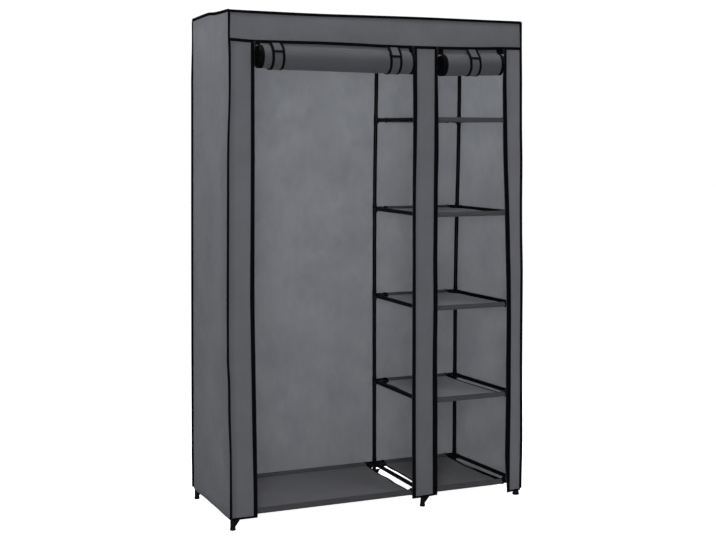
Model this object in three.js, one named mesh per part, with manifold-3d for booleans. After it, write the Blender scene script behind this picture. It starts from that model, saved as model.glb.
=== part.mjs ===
// Portable fabric wardrobe: a knock-down frame of thin steel tubes and plastic
// connectors under a zipped fabric cover. The wide left side is for hanging
// clothes, the narrow right side holds four fabric shelves, and both have a
// fabric base shelf. Both doors are rolled up under the header.
// Millimetres, +Z up, +X to the right and +Y to the back of the wardrobe.
// The origin is on the floor, under the middle of the bounding box.
import * as THREE from 'three';
import { mergeVertices } from 'three/addons/utils/BufferGeometryUtils.js';
import Module from 'manifold-3d';

const wasm = await Module();
wasm.setup();

// ---------------------------------------------------------------- dimensions
const WIDTH = 1118;          // cover, over the front corners
const DEPTH = 440;           // cover, front plane to back plane
const HEIGHT = 1750;         // floor to the top of the cover
const REAR_PULL_IN = 18;     // the rear right corner stands this much nearer the middle
const FABRIC = 1.5;          // stand-in thickness of a cover panel
const GAP = 0.3;             // clearance between neighbouring solids

const POST_INSET = 11;       // upright's axis behind the cover's outer face
const TUBE_R = 6.5;          // steel tube, outer radius
const TUBE_BORE = 6.0;       // steel tube, inner radius
const SOCKET_R = 8.7;        // plastic connector, outer radius
const SOCKET_BORE = 6.8;     // connector bore over an upright or a top rail
const SOCKET_REACH = 30;     // connector arm's length from the upright's axis
const ARM_SIDES = 8;         // facets round a connector's arm
const MID_X = 168.5;         // middle uprights
const LEVELS = [47, 382, 717, 1052, 1387]; // base rail, then the shelf rails
const TOP_Z = 1738;          // top frame's rails
const POST_TOP = 1728.5;

const HEM_Z = 39;            // lower edge of the cover
const HEM_RIGHT_Z = 20;      // the right stile hangs lower
const HEADER_Z = 1648;       // lower edge of the header
const LEFT_STILE_X = -467.5; // inner edge of the left stile
const MID_STILE_X = [121, 215];
const RIGHT_STILE_TOP = 487; // inner edge of the right stile, top and bottom
const RIGHT_STILE_BOT = 509.8;

const SHELF_TUBE_R = 6.2;    // cross tube inside a shelf's sleeve
const SLEEVE_R = 7.3;        // the sleeve around it
const SHEET = 1.5;           // shelf fabric, stand-in thickness
const SHELF_X = [210.5, 484.5];
const BASE_RIGHT_X = [199, 490];
const BASE_LEFT_X = [-506, 123];

const ROLL_Y = -222;         // axis of both rolled doors
const MAIN_ROLL = { x0: -459, x1: 112.5, r: 38, z: 1590 };
const SIDE_ROLL = { x0: 228.5, x1: 462, r: 36, z: 1584 };
const STRAP_W = 45;
const STRAP_T = 1;
const STRAPS = [             // centre of each tie and the roll it holds
  { name: 'left', x: -398.4, roll: MAIN_ROLL },
  { name: 'middle', x: 35.7, roll: MAIN_ROLL },
  { name: 'right', x: 351.2, roll: SIDE_ROLL },
];

const SLIDER = { w: 8.5, d: 4.5, h: 12, z: 1634 };
const PULL = { w: 5, d: 1.4, h: 26, pin: 1638 };

const FRONT = -DEPTH / 2, BACK = DEPTH / 2;
const LEFT = -WIDTH / 2, RIGHT = WIDTH / 2;
const POST_X = { left: LEFT + POST_INSET, middle: MID_X, right: RIGHT - POST_INSET };
const POST_Y = DEPTH / 2 - POST_INSET;
const REAR_RIGHT_X = POST_X.right - REAR_PULL_IN;
const SHIFT_Y = 20.87;       // centres the box: the rolled doors stand out in front

// ---------------------------------------------------------------- materials
const mat = (color, roughness, metalness = 0) =>
  new THREE.MeshStandardMaterial({ color, roughness, metalness });
const greyFabric = () => mat(0x5a5c61, 0.9);
const shelfFabric = () => mat(0x46474b, 0.92);
const blackTube = () => mat(0x0d0d10, 0.38, 0.35);
const blackPlastic = () => mat(0x111114, 0.5);
const blackZip = () => mat(0x0c0c0e, 0.4, 0.2);

// ---------------------------------------------------------------- solid helpers
function solid(geometry) {
  const g = geometry.clone();
  g.deleteAttribute('normal');
  g.deleteAttribute('uv');
  const m = mergeVertices(g, 1e-4);
  return new wasm.Manifold(new wasm.Mesh({
    numProp: 3,
    vertProperties: new Float32Array(m.attributes.position.array),
    triVerts: new Uint32Array(m.index.array),
  }));
}

function geometryOf(manifold) {
  const m = manifold.getMesh();
  const g = new THREE.BufferGeometry();
  const n = m.vertProperties.length / m.numProp;
  const p = new Float32Array(n * 3);
  for (let i = 0; i < n; i++)
    for (let k = 0; k < 3; k++) p[3 * i + k] = m.vertProperties[m.numProp * i + k];
  g.setAttribute('position', new THREE.BufferAttribute(p, 3));
  g.setIndex(new THREE.BufferAttribute(new Uint32Array(m.triVerts), 1));
  return g;
}

// A round bar from point a to point b.
function bar(a, b, radius, sides = 12) {
  const from = new THREE.Vector3(...a), to = new THREE.Vector3(...b);
  const along = to.clone().sub(from);
  const g = new THREE.CylinderGeometry(radius, radius, along.length(), sides);
  const q = new THREE.Quaternion().setFromUnitVectors(
    new THREE.Vector3(0, 1, 0), along.clone().normalize());
  g.applyQuaternion(q);
  g.translate(...from.add(to).multiplyScalar(0.5).toArray());
  return g;
}

function block(x0, x1, y0, y1, z0, z1) {
  return new THREE.BoxGeometry(x1 - x0, y1 - y0, z1 - z0)
    .translate((x0 + x1) / 2, (y0 + y1) / 2, (z0 + z1) / 2);
}

const union = (list) => list.map(solid).reduce((a, b) => a.add(b));
const cut = (body, list) => list.map(solid).reduce((a, b) => a.subtract(b), body);

// A closed outline in the Y-Z plane, swept along X from x0 to x1.
function sweepX(outline, x0, x1) {
  const g = new THREE.ExtrudeGeometry(new THREE.Shape(outline.map(([y, z]) => new THREE.Vector2(y, z))),
    { depth: x1 - x0, bevelEnabled: false, steps: 1 });
  g.applyMatrix4(new THREE.Matrix4().set(0, 0, 1, x0, 1, 0, 0, 0, 0, 1, 0, 0, 0, 0, 0, 1));
  return g;
}

// A closed outline in the X-Z plane, given thickness from y0 to y1.
function sheetXZ(outline, y0, y1) {
  const g = new THREE.ExtrudeGeometry(new THREE.Shape(outline.map(([x, z]) => new THREE.Vector2(x, z))),
    { depth: y1 - y0, bevelEnabled: false, steps: 1 });
  g.applyMatrix4(new THREE.Matrix4().set(1, 0, 0, 0, 0, 0, -1, y1, 0, 1, 0, 0, 0, 0, 0, 1));
  return g;
}

// A closed outline in the X-Y plane, given height from z0 to z1.
function sheetXY(outline, z0, z1) {
  const g = new THREE.ExtrudeGeometry(new THREE.Shape(outline.map(([x, y]) => new THREE.Vector2(x, y))),
    { depth: z1 - z0, bevelEnabled: false, steps: 1 });
  return g.translate(0, 0, z0);
}

function part(group, name, geometry, material, position) {
  const m = new THREE.Mesh(geometry, material);
  m.name = name;
  if (position) m.position.set(...position);
  group.add(m);
  return m;
}

const wardrobe = new THREE.Group();
wardrobe.position.y = SHIFT_Y;

// ---------------------------------------------------------------- frame
const frame = new THREE.Group();
wardrobe.add(frame);

const columns = {
  left: { front: POST_X.left, back: POST_X.left, inward: [1] },
  middle: { front: POST_X.middle, back: POST_X.middle, inward: [-1, 1] },
  right: { front: POST_X.right, back: REAR_RIGHT_X, inward: [-1] },
};

// Uprights: open tubes that the connectors thread onto.
const uprightGeometry = geometryOf(cut(
  union([bar([0, 0, LEVELS[0] - 11.4], [0, 0, POST_TOP], TUBE_R)]),
  [bar([0, 0, LEVELS[0] - 20], [0, 0, POST_TOP + 10], TUBE_BORE)]));

// A foot: a round pad, a short leg, a spigot up inside the upright and a
// thin web under the base connector's arm.
const footProfile = [[0, 0], [9.2, 0], [9.8, 0.8], [9.8, 5], [8.7, 8], [8.7, 34.9], [5.3, 34.9], [5.3, 62], [0, 62]]
  .map(([r, z]) => new THREE.Vector2(r, z));
const footBody = new THREE.LatheGeometry(footProfile, 14).rotateX(Math.PI / 2);
const footWeb = sheetXZ([[4, 9], [9, 12], [26, 34.9], [4, 34.9]], -1.8, 1.8);
const footGeometry = geometryOf(union([footBody, footWeb]));

for (const [side, c] of Object.entries(columns)) {
  for (const end of ['front', 'back']) {
    const x = c[end], y = end === 'front' ? -POST_Y : POST_Y;
    part(frame, `${end}_${side}_upright`, uprightGeometry, blackTube(), [x, y, 0]);
    const foot = part(frame, `${end}_${side}_foot`, footGeometry, blackPlastic(), [x, y, 0]);
    if (side === 'right') foot.rotation.z = Math.PI;
  }
}

// A depth rail: a tube from the front upright to the back one, with a
// connector at each end. The connector is a sleeve over the upright and an
// arm for each cross tube. Local z = 0 is the rail's axis.
//   arms   X directions of the connector's arms
//   reach  local z of the sleeve's ends
//   bore   local z of the ends of the hole for the upright
//   drill  how far the arm's own bore goes: to a stop, or to the rail's hollow
function depthRail(c, arms, reach, bore, drill, tee) {
  const ends = [[c.front, -POST_Y], [c.back, POST_Y]];
  const solids = [bar([c.front, -POST_Y, 0], [c.back, POST_Y, 0], TUBE_R)];
  const holes = [bar([c.front, -POST_Y, 0], [c.back, POST_Y, 0], TUBE_BORE, 8)];
  const lean = (c.back - c.front) / (2 * POST_Y);
  ends.forEach(([x, y], i) => {
    const s = i === 0 ? 1 : -1;
    solids.push(bar([x, y, reach[0]], [x, y, reach[1]], SOCKET_R, ARM_SIDES));
    solids.push(bar([x, y, 0], [x + s * lean * SOCKET_REACH, y + s * SOCKET_REACH, 0], SOCKET_R, ARM_SIDES));
    holes.push(bar([x, y, bore[0]], [x, y, bore[1]], SOCKET_BORE));
    for (const a of arms) {
      solids.push(bar([x, y, 0], [x + a * SOCKET_REACH, y, 0], SOCKET_R, ARM_SIDES));
      holes.push(bar([x + a * drill.from, y, 0], [x + a * (SOCKET_REACH + 5), y, 0], drill.radius));
    }
  });
  if (tee) {
    const x = (c.front + c.back) / 2;
    solids.push(bar([x, -17, 0], [x, 17, 0], SOCKET_R, ARM_SIDES));
    solids.push(bar([x, 0, 0], [x + tee * SOCKET_REACH, 0, 0], SOCKET_R, ARM_SIDES));
    holes.push(bar([x + tee * 10, 0, 0], [x + tee * (SOCKET_REACH + 5), 0, 0], SOCKET_BORE));
  }
  return geometryOf(cut(union(solids), holes));
}

const armForShelf = { from: 10, radius: SHELF_TUBE_R + GAP };
const armForTopRail = { from: -1, radius: SOCKET_BORE };

for (const [side, c] of Object.entries(columns)) {
  part(frame, `base_rail_${side}`,
    depthRail(c, c.inward, [-LEVELS[0] + 35.2, 24], [-30, 40], armForShelf), blackTube(), [0, 0, LEVELS[0]]);
  part(frame, `top_rail_${side}`,
    depthRail(c, c.inward, [-38, SOCKET_R], [-50, POST_TOP - TOP_Z + 1], armForTopRail,
      side === 'left' ? 1 : side === 'middle' ? -1 : 0), blackTube(), [0, 0, TOP_Z]);
}
for (const [side, arm] of [['middle', 1], ['right', -1]]) {
  const geometry = depthRail(columns[side], [arm], [-19, 19], [-30, 30], armForShelf);
  for (let level = 1; level <= 4; level++)
    part(frame, `shelf_${level}_rail_${side}`, geometry, blackTube(), [0, 0, LEVELS[level]]);
}

// Top cross rails: one tube along the front and one along the back, through
// the middle connectors and into the end ones.
const hollowBar = (a, b, r, bore) => {
  const dir = new THREE.Vector3(...b).sub(new THREE.Vector3(...a)).normalize();
  const a2 = new THREE.Vector3(...a).addScaledVector(dir, -5).toArray();
  const b2 = new THREE.Vector3(...b).addScaledVector(dir, 5).toArray();
  return geometryOf(cut(union([bar(a, b, r)]), [bar(a2, b2, bore, 8)]));
};
const STOP = 10.4;           // a cross tube ends this far from the upright's axis
part(frame, 'top_rail_front',
  hollowBar([POST_X.left + STOP, -POST_Y, 0], [POST_X.right - STOP, -POST_Y, 0], TUBE_R, TUBE_BORE), blackTube(), [0, 0, TOP_Z]);
part(frame, 'top_rail_back',
  hollowBar([POST_X.left + STOP, POST_Y, 0], [REAR_RIGHT_X - STOP, POST_Y, 0], TUBE_R, TUBE_BORE), blackTube(), [0, 0, TOP_Z]);
part(frame, 'hanging_rail',
  hollowBar([POST_X.left + STOP, 0, 0], [POST_X.middle - STOP, 0, 0], TUBE_R, TUBE_BORE), blackTube(), [0, 0, TOP_Z]);

// ---------------------------------------------------------------- shelves
// A fabric sheet with a sleeve in its front and back edge, and the cross tube
// in each sleeve, which ends in the connectors' arms. Local z = 0 is the
// tubes' axis.
const shelves = new THREE.Group();
wardrobe.add(shelves);

function shelf(x0, x1, fabric) {
  const rear1 = x1 > MID_X ? x1 - REAR_PULL_IN : x1;
  const solids = [];
  for (const y of [-POST_Y, POST_Y]) {
    const end = y > 0 ? rear1 : x1;
    const [f0, f1] = [fabric[0], y > 0 && x1 > MID_X ? fabric[1] - REAR_PULL_IN * 0.4 : fabric[1]];
    solids.push(bar([x0, y, 0], [end, y, 0], SHELF_TUBE_R));
    solids.push(bar([f0, y, 0], [f1, y, 0], SLEEVE_R));
  }
  const rearEdge = x1 > MID_X ? fabric[1] - REAR_PULL_IN * 0.4 : fabric[1];
  solids.push(sheetXY([[fabric[0], -POST_Y], [fabric[1], -POST_Y], [rearEdge, POST_Y], [fabric[0], POST_Y]],
    SLEEVE_R - SHEET, SLEEVE_R));
  return geometryOf(union(solids));
}
const rightShelf = shelf(POST_X.middle + STOP, POST_X.right - STOP, SHELF_X);
for (let level = 1; level <= 4; level++)
  part(shelves, `shelf_${level}`, rightShelf, shelfFabric(), [0, 0, LEVELS[level]]);
part(shelves, 'base_shelf_right', shelf(POST_X.middle + STOP, POST_X.right - STOP, BASE_RIGHT_X), shelfFabric(), [0, 0, LEVELS[0]]);
part(shelves, 'base_shelf_left', shelf(POST_X.left + STOP, POST_X.middle - STOP, BASE_LEFT_X), shelfFabric(), [0, 0, LEVELS[0]]);

// ---------------------------------------------------------------- cover
const cover = new THREE.Group();
wardrobe.add(cover);
const PANEL_TOP = HEIGHT - FABRIC - GAP;
const REAR_RIGHT_EDGE = RIGHT - REAR_PULL_IN;
const INNER_FRONT = FRONT + FABRIC + GAP, INNER_BACK = BACK - FABRIC - GAP;

part(cover, 'cover_back', block(LEFT, REAR_RIGHT_EDGE, BACK - FABRIC, BACK, HEM_Z, PANEL_TOP), greyFabric());
part(cover, 'cover_left_side', block(LEFT, LEFT + FABRIC, INNER_FRONT, INNER_BACK, HEM_Z, PANEL_TOP), greyFabric());
part(cover, 'cover_right_side', sheetXY([
  [RIGHT - FABRIC, INNER_FRONT], [RIGHT, INNER_FRONT],
  [REAR_RIGHT_EDGE, INNER_BACK], [REAR_RIGHT_EDGE - FABRIC, INNER_BACK]], HEM_RIGHT_Z + 10, PANEL_TOP), greyFabric());
part(cover, 'cover_top', sheetXY([[LEFT, FRONT], [RIGHT, FRONT], [REAR_RIGHT_EDGE, BACK], [LEFT, BACK]],
  HEIGHT - FABRIC, HEIGHT), greyFabric());
part(cover, 'cover_header', block(LEFT, RIGHT, FRONT, FRONT + FABRIC, HEADER_Z, PANEL_TOP), greyFabric());

const STILE_TOP = HEADER_Z - GAP;
part(cover, 'cover_stile_left', block(LEFT, LEFT_STILE_X, FRONT, FRONT + FABRIC, HEM_Z, STILE_TOP), greyFabric());
part(cover, 'cover_stile_middle', block(...MID_STILE_X, FRONT, FRONT + FABRIC, HEM_Z - 2, STILE_TOP), greyFabric());
part(cover, 'cover_stile_right', sheetXZ([
  [RIGHT_STILE_BOT, HEM_RIGHT_Z - 3], [RIGHT, HEM_RIGHT_Z + 4], [RIGHT, STILE_TOP], [RIGHT_STILE_TOP, STILE_TOP]],
  FRONT, FRONT + FABRIC), greyFabric());

// ---------------------------------------------------------------- doors
// Each door hangs from the header by a short web and is rolled up below it.
const doors = new THREE.Group();
wardrobe.add(doors);
for (const [name, roll] of [['main_door', MAIN_ROLL], ['side_door', SIDE_ROLL]]) {
  const web = block(roll.x0, roll.x1, FRONT + 0.1, FRONT + 1.3, roll.z + roll.r - 4, HEADER_Z - GAP);
  const body = bar([roll.x0, ROLL_Y, roll.z], [roll.x1, ROLL_Y, roll.z], roll.r, 24);
  const hollow = bar([roll.x0 - 5, ROLL_Y, roll.z], [roll.x1 + 5, ROLL_Y, roll.z], roll.r - 8, 12);
  part(doors, name, geometryOf(cut(union([body, web]), [hollow])), greyFabric());
}

// ---------------------------------------------------------------- ties
// Angles run from straight up, towards the front, round the roll's axis.
const onRoll = (roll, r, angle) => [ROLL_Y - r * Math.sin(angle), roll.z + r * Math.cos(angle)];
const DEG = Math.PI / 180;

// Offsets a path of [y, z] points to both sides and closes it.
function ribbon(points, t) {
  const left = [], right = [];
  points.forEach(([y, z], i) => {
    const a = points[Math.max(i - 1, 0)], b = points[Math.min(i + 1, points.length - 1)];
    const dy = b[0] - a[0], dz = b[1] - a[1], n = Math.hypot(dy, dz);
    left.push([y - (dz / n) * t / 2, z + (dy / n) * t / 2]);
    right.push([y + (dz / n) * t / 2, z - (dy / n) * t / 2]);
  });
  return [...left, ...right.reverse()];
}

// Tangent angle on a circle round the roll's axis, seen from a point above it.
function tangentAngle(roll, r, [y, z], towardsFront) {
  const dy = ROLL_Y - y, dz = z - roll.z, d = Math.hypot(dy, dz);
  const up = Math.atan2(dy, dz), half = Math.acos(r / d);
  return towardsFront ? up + half : up - half;
}

const ties = new THREE.Group();
wardrobe.add(ties);
for (const s of STRAPS) {
  // The long strap: from the header behind the roll, under it, and up its front.
  const r = s.roll.r + 0.8 + STRAP_T / 2;
  const start = [FRONT + 4, HEADER_Z - 3];
  const a0 = tangentAngle(s.roll, r, start, false);
  const path = [start];
  const last = -310 * DEG;   // ends on the front of the roll, under the tab
  const steps = 14;
  for (let i = 0; i <= steps; i++) path.push(onRoll(s.roll, r, a0 + (last - a0) * i / steps));
  const x0 = s.x - STRAP_W / 2, x1 = s.x + STRAP_W / 2;
  part(ties, `tie_strap_${s.name}`, sweepX(ribbon(path, STRAP_T), x0, x1), greyFabric());
  // The front tab: from the header down onto the strap's end.
  const rt = s.roll.r + 0.8 + STRAP_T + 0.6 + STRAP_T / 2;
  const top = [FRONT - 1, HEADER_Z - 1.5];
  const b0 = tangentAngle(s.roll, rt, top, true);
  const tabPath = [top];
  for (let i = 0; i <= 5; i++) tabPath.push(onRoll(s.roll, rt, b0 + (62 * DEG - b0) * i / 5));
  part(ties, `tie_tab_${s.name}`, sweepX(ribbon(tabPath, STRAP_T), x0, x1), greyFabric());
}

// ---------------------------------------------------------------- zips
// Sliders wait at the top of each opening's edge; the pulls hang from them.
const zips = new THREE.Group();
wardrobe.add(zips);
const sliderGeometry = (() => {
  const { w, d, h, z } = SLIDER;
  const plate = sheetXZ([[-w / 2 + 1.2, z], [w / 2 - 1.2, z], [w / 2, z + 3], [w / 2, z + h - 2],
    [w / 2 - 1.5, z + h], [-w / 2 + 1.5, z + h], [-w / 2, z + h - 2], [-w / 2, z + 3]], -d, -GAP);
  const notch = block(-PULL.w / 2 - GAP, PULL.w / 2 + GAP, -d - 1, -d + 1.2, z - 1, PULL.pin + 2.2);
  return geometryOf(cut(union([plate]), [notch]));
})();
const pullGeometry = (() => {
  const { w, d, h, pin } = PULL;
  const y1 = -SLIDER.d + 0.9 - 0.2, y0 = y1 - d;
  const g = sheetXZ([[-w / 2, pin + 0.5], [-w / 2, pin - h + 2], [-w / 2 + 1.5, pin - h], [w / 2 - 1.5, pin - h],
    [w / 2, pin - h + 2], [w / 2, pin + 0.5]], y0, y1);
  const eye = block(-1.2, 1.2, y0 - 1, y1 + 1, pin - h + 4, pin - h + 10);
  return geometryOf(cut(union([g]), [eye]));
})();
for (const [name, x] of [
  ['main_left', LEFT_STILE_X - 2], ['main_right', MID_STILE_X[0] + 2],
  ['side_left', MID_STILE_X[1] - 2], ['side_right', RIGHT_STILE_TOP + 2]]) {
  part(zips, `zip_slider_${name}`, sliderGeometry, blackZip(), [x, FRONT, 0]);
  part(zips, `zip_pull_${name}`, pullGeometry, blackZip(), [x, FRONT, 0]);
}

export default wardrobe;
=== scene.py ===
import math

import bmesh
import bpy
import numpy as np
from mathutils import Matrix, Vector


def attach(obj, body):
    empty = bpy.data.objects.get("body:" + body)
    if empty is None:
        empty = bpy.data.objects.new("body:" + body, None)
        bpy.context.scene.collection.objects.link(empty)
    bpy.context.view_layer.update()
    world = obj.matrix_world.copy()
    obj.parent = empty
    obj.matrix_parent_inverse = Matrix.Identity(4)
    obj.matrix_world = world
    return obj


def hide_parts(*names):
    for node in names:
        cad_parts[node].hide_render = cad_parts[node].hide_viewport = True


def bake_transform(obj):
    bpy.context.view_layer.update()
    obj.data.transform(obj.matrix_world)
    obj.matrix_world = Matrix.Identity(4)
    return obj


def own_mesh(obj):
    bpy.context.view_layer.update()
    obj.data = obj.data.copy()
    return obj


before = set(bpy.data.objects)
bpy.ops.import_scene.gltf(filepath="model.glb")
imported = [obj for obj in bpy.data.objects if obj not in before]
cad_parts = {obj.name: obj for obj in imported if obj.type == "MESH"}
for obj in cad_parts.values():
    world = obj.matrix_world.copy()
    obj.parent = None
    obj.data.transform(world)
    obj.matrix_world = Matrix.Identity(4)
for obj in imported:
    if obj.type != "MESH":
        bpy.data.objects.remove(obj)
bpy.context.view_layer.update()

# Every coordinate below is in metres in the wardrobe's own frame, whose front
# plane is y = -0.22. SY moves it to the middle of the box that takes in the
# rolled doors.
SY = 0.02087
BODY = "wardrobe"
FRONT, BACK, LEFT, RIGHT, TOP = -0.22, 0.22, -0.559, 0.559, 1.75
POST_Y = 0.209
POSTS = {
    "left": (-0.548, -0.548),
    "middle": (0.1685, 0.1685),
    "right": (0.548, 0.530),
}
LEVELS = [0.047, 0.382, 0.717, 1.052, 1.387]
TOP_Z = 1.738
ROLL_Y = -0.222
FABRIC = 0.0006
TUBE = 0.0074
NODES = set(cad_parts)


# ------------------------------------------------------------ small helpers
def vnoise(x, y, seed=0):
    """Smooth value noise from -1 to 1."""
    x, y = np.broadcast_arrays(np.asarray(x, float), np.asarray(y, float))
    xi, yi = np.floor(x), np.floor(y)
    fx, fy = x - xi, y - yi
    fx = fx**3 * (fx * (fx * 6 - 15) + 10)
    fy = fy**3 * (fy * (fy * 6 - 15) + 10)

    def h(i, j):
        s = np.sin(i * 127.1 + j * 311.7 + seed * 74.7) * 43758.5453
        return 2 * (s - np.floor(s)) - 1

    a = h(xi, yi) * (1 - fx) + h(xi + 1, yi) * fx
    b = h(xi, yi + 1) * (1 - fx) + h(xi + 1, yi + 1) * fx
    return a * (1 - fy) + b * fy


def fbm(x, y, seed=0, octaves=3):
    total, size = 0.0, 1.0
    for k in range(octaves):
        total = total + size * vnoise(x * 2**k + 3.7 * k, y * 2**k - 1.3 * k, seed + k)
        size *= 0.5
    return total / (2 - 2 ** (1 - octaves))


def ease(t):
    t = np.clip(t, 0, 1)
    return t * t * (3 - 2 * t)


def curve(at, pairs, soft=0.02):
    """Value at points, through (position, value) pairs, with its corners rounded."""
    pairs = sorted(pairs)
    xs, ys = [p[0] for p in pairs], [p[1] for p in pairs]
    at = np.asarray(at, float)
    total = 0.0
    for w, d in ((0.28, 0.0), (0.24, -soft), (0.24, soft), (0.12, -2 * soft), (0.12, 2 * soft)):
        total = total + w * np.interp(at + d, xs, ys)
    return total


def unit(v):
    v = np.asarray(v, float)
    n = np.linalg.norm(v, axis=-1, keepdims=True)
    return v / np.where(n < 1e-12, 1, n)


def lengths(path):
    path = np.asarray(path, float)
    return np.concatenate([[0], np.cumsum(np.linalg.norm(np.diff(path, axis=0), axis=1))])


def resample(path, step):
    path = np.asarray(path, float)
    s = lengths(path)
    n = max(2, int(round(s[-1] / step)) + 1)
    t = np.linspace(0, s[-1], n)
    return np.stack([np.interp(t, s, path[:, k]) for k in range(path.shape[1])], 1)


def ease_corners(path, step, passes=2):
    """Resamples a path and rounds its corners a little; the ends stay."""
    p = resample(path, step)
    for _ in range(passes):
        q = p.copy()
        q[1:-1] = 0.25 * p[:-2] + 0.5 * p[1:-1] + 0.25 * p[2:]
        p = q
    return p


def rear_right_lean(z):
    return curve(z, [(0.0, -0.0132), (0.17, -0.0127), (0.52, -0.0114), (0.7, -0.0104), (0.83, -0.0092), (1.05, -0.0043), (1.22, 0.0008),
                     (1.45, 0.0047), (1.55, 0.0058), (1.75, 0.0068)], 0.05)


def settle(v, levels=False):
    """The frame's rear posts lean by a few millimetres, as thin tubes in push-fit
    sockets do, and everything on them goes along. With levels, also the few
    millimetres by which each shelf's connectors sit off their even spacing."""
    v = np.array(v, float)
    x, y, z = v[..., 0], v[..., 1], v[..., 2].copy()
    if levels:
        at, front, back = [-1.0], [0.007], [0.0116]
        for h, f, b in ((0.047, 0.007, 0.0116), (0.382, -0.0035, -0.001), (0.717, -0.006, -0.0025), (1.052, -0.0045, -0.001), (1.387, 0.0014, 0.0058)):
            at += [h - 0.05, h + 0.05]
            front += [f, f]
            back += [b, b]
        at, front, back = at + [1.66, 2.0], front + [0, 0], back + [0, 0]
        t = np.clip((y + POST_Y) / (2 * POST_Y), 0, 1)
        v[..., 2] += np.interp(z, at, front) * (1 - t) + np.interp(z, at, back) * t
    left = curve(z, [(0.0, -0.001), (0.3, -0.001), (0.9, 0.0), (1.1, 0.0008), (1.3, 0.0018), (1.55, 0.003), (1.75, 0.0035)], 0.05)
    mid = curve(z, [(0.0, -0.003), (0.9, -0.003), (1.1, -0.0018), (1.25, -0.0004), (1.35, 0.0018), (1.55, 0.0058), (1.75, 0.0068)], 0.05)
    right = rear_right_lean(z)
    t = np.clip((x + 0.548) / 0.7165, 0, 1)
    k = np.clip((x - 0.1685) / 0.3615, 0, 1)
    shift = (left * (1 - t) + mid * t) * (1 - k) + right * k
    far = np.clip((y + POST_Y) / (2 * POST_Y), 0, 1)
    v[..., 0] += shift * far + 0.005 * (1 - far) * np.clip(1 - z / 0.5, 0, 1) * np.clip((x - 0.3) / 0.248, 0, 1)
    return v


# ------------------------------------------------------------ mesh building
def make(name, verts, faces, mats, body=BODY, uv=None, index=None, flat=False,
         outward=False, sharp=None, shift=True, lean=None):
    me = bpy.data.meshes.new(name)
    v = np.array(verts, float).reshape(-1, 3)
    if lean:
        v = settle(v, lean == "levels")
    if shift:
        v[:, 1] += SY
    me.from_pydata(v.tolist(), [], [list(map(int, f)) for f in faces])
    for m in mats if isinstance(mats, (list, tuple)) else [mats]:
        me.materials.append(m)
    if uv is not None:
        layer = me.uv_layers.new(name="UVMap")
        li = np.zeros(len(me.loops), np.int32)
        me.loops.foreach_get("vertex_index", li)
        layer.data.foreach_set("uv", np.asarray(uv, np.float32)[li].ravel())
    if index is not None:
        me.polygons.foreach_set("material_index", np.asarray(index, np.int32))
    me.polygons.foreach_set("use_smooth", np.full(len(me.polygons), not flat))
    if outward or sharp:
        bm = bmesh.new()
        bm.from_mesh(me)
        if outward:
            bmesh.ops.recalc_face_normals(bm, faces=bm.faces)
        if sharp:
            for e in bm.edges:
                if len(e.link_faces) == 2 and e.calc_face_angle(0) > math.radians(sharp):
                    e.smooth = False
        bm.to_mesh(me)
        bm.free()
    me.update()
    ob = bpy.data.objects.new(name, me)
    bpy.context.scene.collection.objects.link(ob)
    if body is not None:
        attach(ob, body)
    return ob


def grid_faces(n, m, offset=0, flip=False):
    i = np.arange(n * m).reshape(n, m) + offset
    a, b, c, d = i[:-1, :-1], i[1:, :-1], i[1:, 1:], i[:-1, 1:]
    q = np.stack([a, d, c, b] if flip else [a, b, c, d], -1).reshape(-1, 4)
    return q


def shell(name, P, UV, mats, t=FABRIC, body=BODY, pick=None, back_add=0):
    """A thin closed sheet round the grid of points P. pick(u, v) gives the
    material of each cell; back_add is added to it on the sheet's other side."""
    n, m = P.shape[:2]
    N = unit(np.cross(np.gradient(P, axis=0), np.gradient(P, axis=1)))
    k = n * m
    verts = np.concatenate([(P + N * t / 2).reshape(-1, 3), (P - N * t / 2).reshape(-1, 3)])
    uv = np.concatenate([UV.reshape(-1, 2)] * 2)
    top, low = grid_faces(n, m), grid_faces(n, m, k, True)
    cu = 0.25 * (UV[:-1, :-1] + UV[1:, :-1] + UV[1:, 1:] + UV[:-1, 1:])
    which = np.zeros(cu.shape[:2], int) if pick is None else pick(cu[..., 0], cu[..., 1]).astype(int)
    g = np.arange(k).reshape(n, m)
    rims, rim_i = [], []
    for i in range(n - 1):
        rims.append([g[i + 1, 0], g[i, 0], g[i, 0] + k, g[i + 1, 0] + k])
        rims.append([g[i, -1], g[i + 1, -1], g[i + 1, -1] + k, g[i, -1] + k])
        rim_i += [which[i, 0], which[i, -1]]
    for j in range(m - 1):
        rims.append([g[0, j], g[0, j + 1], g[0, j + 1] + k, g[0, j] + k])
        rims.append([g[-1, j + 1], g[-1, j], g[-1, j] + k, g[-1, j + 1] + k])
        rim_i += [which[0, j], which[-1, j]]
    faces = np.concatenate([top, low, np.array(rims)])
    index = np.concatenate([which.ravel(), which.ravel() + back_add, np.array(rim_i)])
    return make(name, verts, faces, mats, body, uv, index)


def sweep_data(path, A, B, prof):
    path, A, B, prof = (np.asarray(x, float) for x in (path, A, B, prof))
    k, p = len(path), len(prof)
    A = np.broadcast_to(A, path.shape)
    B = np.broadcast_to(B, path.shape)
    V = path[:, None] + prof[None, :, :1] * A[:, None] + prof[None, :, 1:2] * B[:, None]
    faces = []
    for i in range(k - 1):
        for j in range(p):
            j2 = (j + 1) % p
            faces.append([i * p + j, i * p + j2, (i + 1) * p + j2, (i + 1) * p + j])
    faces.append(list(range(p))[::-1])
    faces.append([(k - 1) * p + j for j in range(p)])
    s = lengths(path)
    half = np.abs(prof[:, 0]).max()
    uv = np.stack([np.repeat(s, p), np.tile(half - np.abs(prof[:, 0]), k)], 1)
    return V.reshape(-1, 3), faces, uv


def sweep(name, path, A, B, prof, mat, body=BODY):
    v, f, uv = sweep_data(path, A, B, prof)
    return make(name, v, f, mat, body, uv, outward=True)


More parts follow.
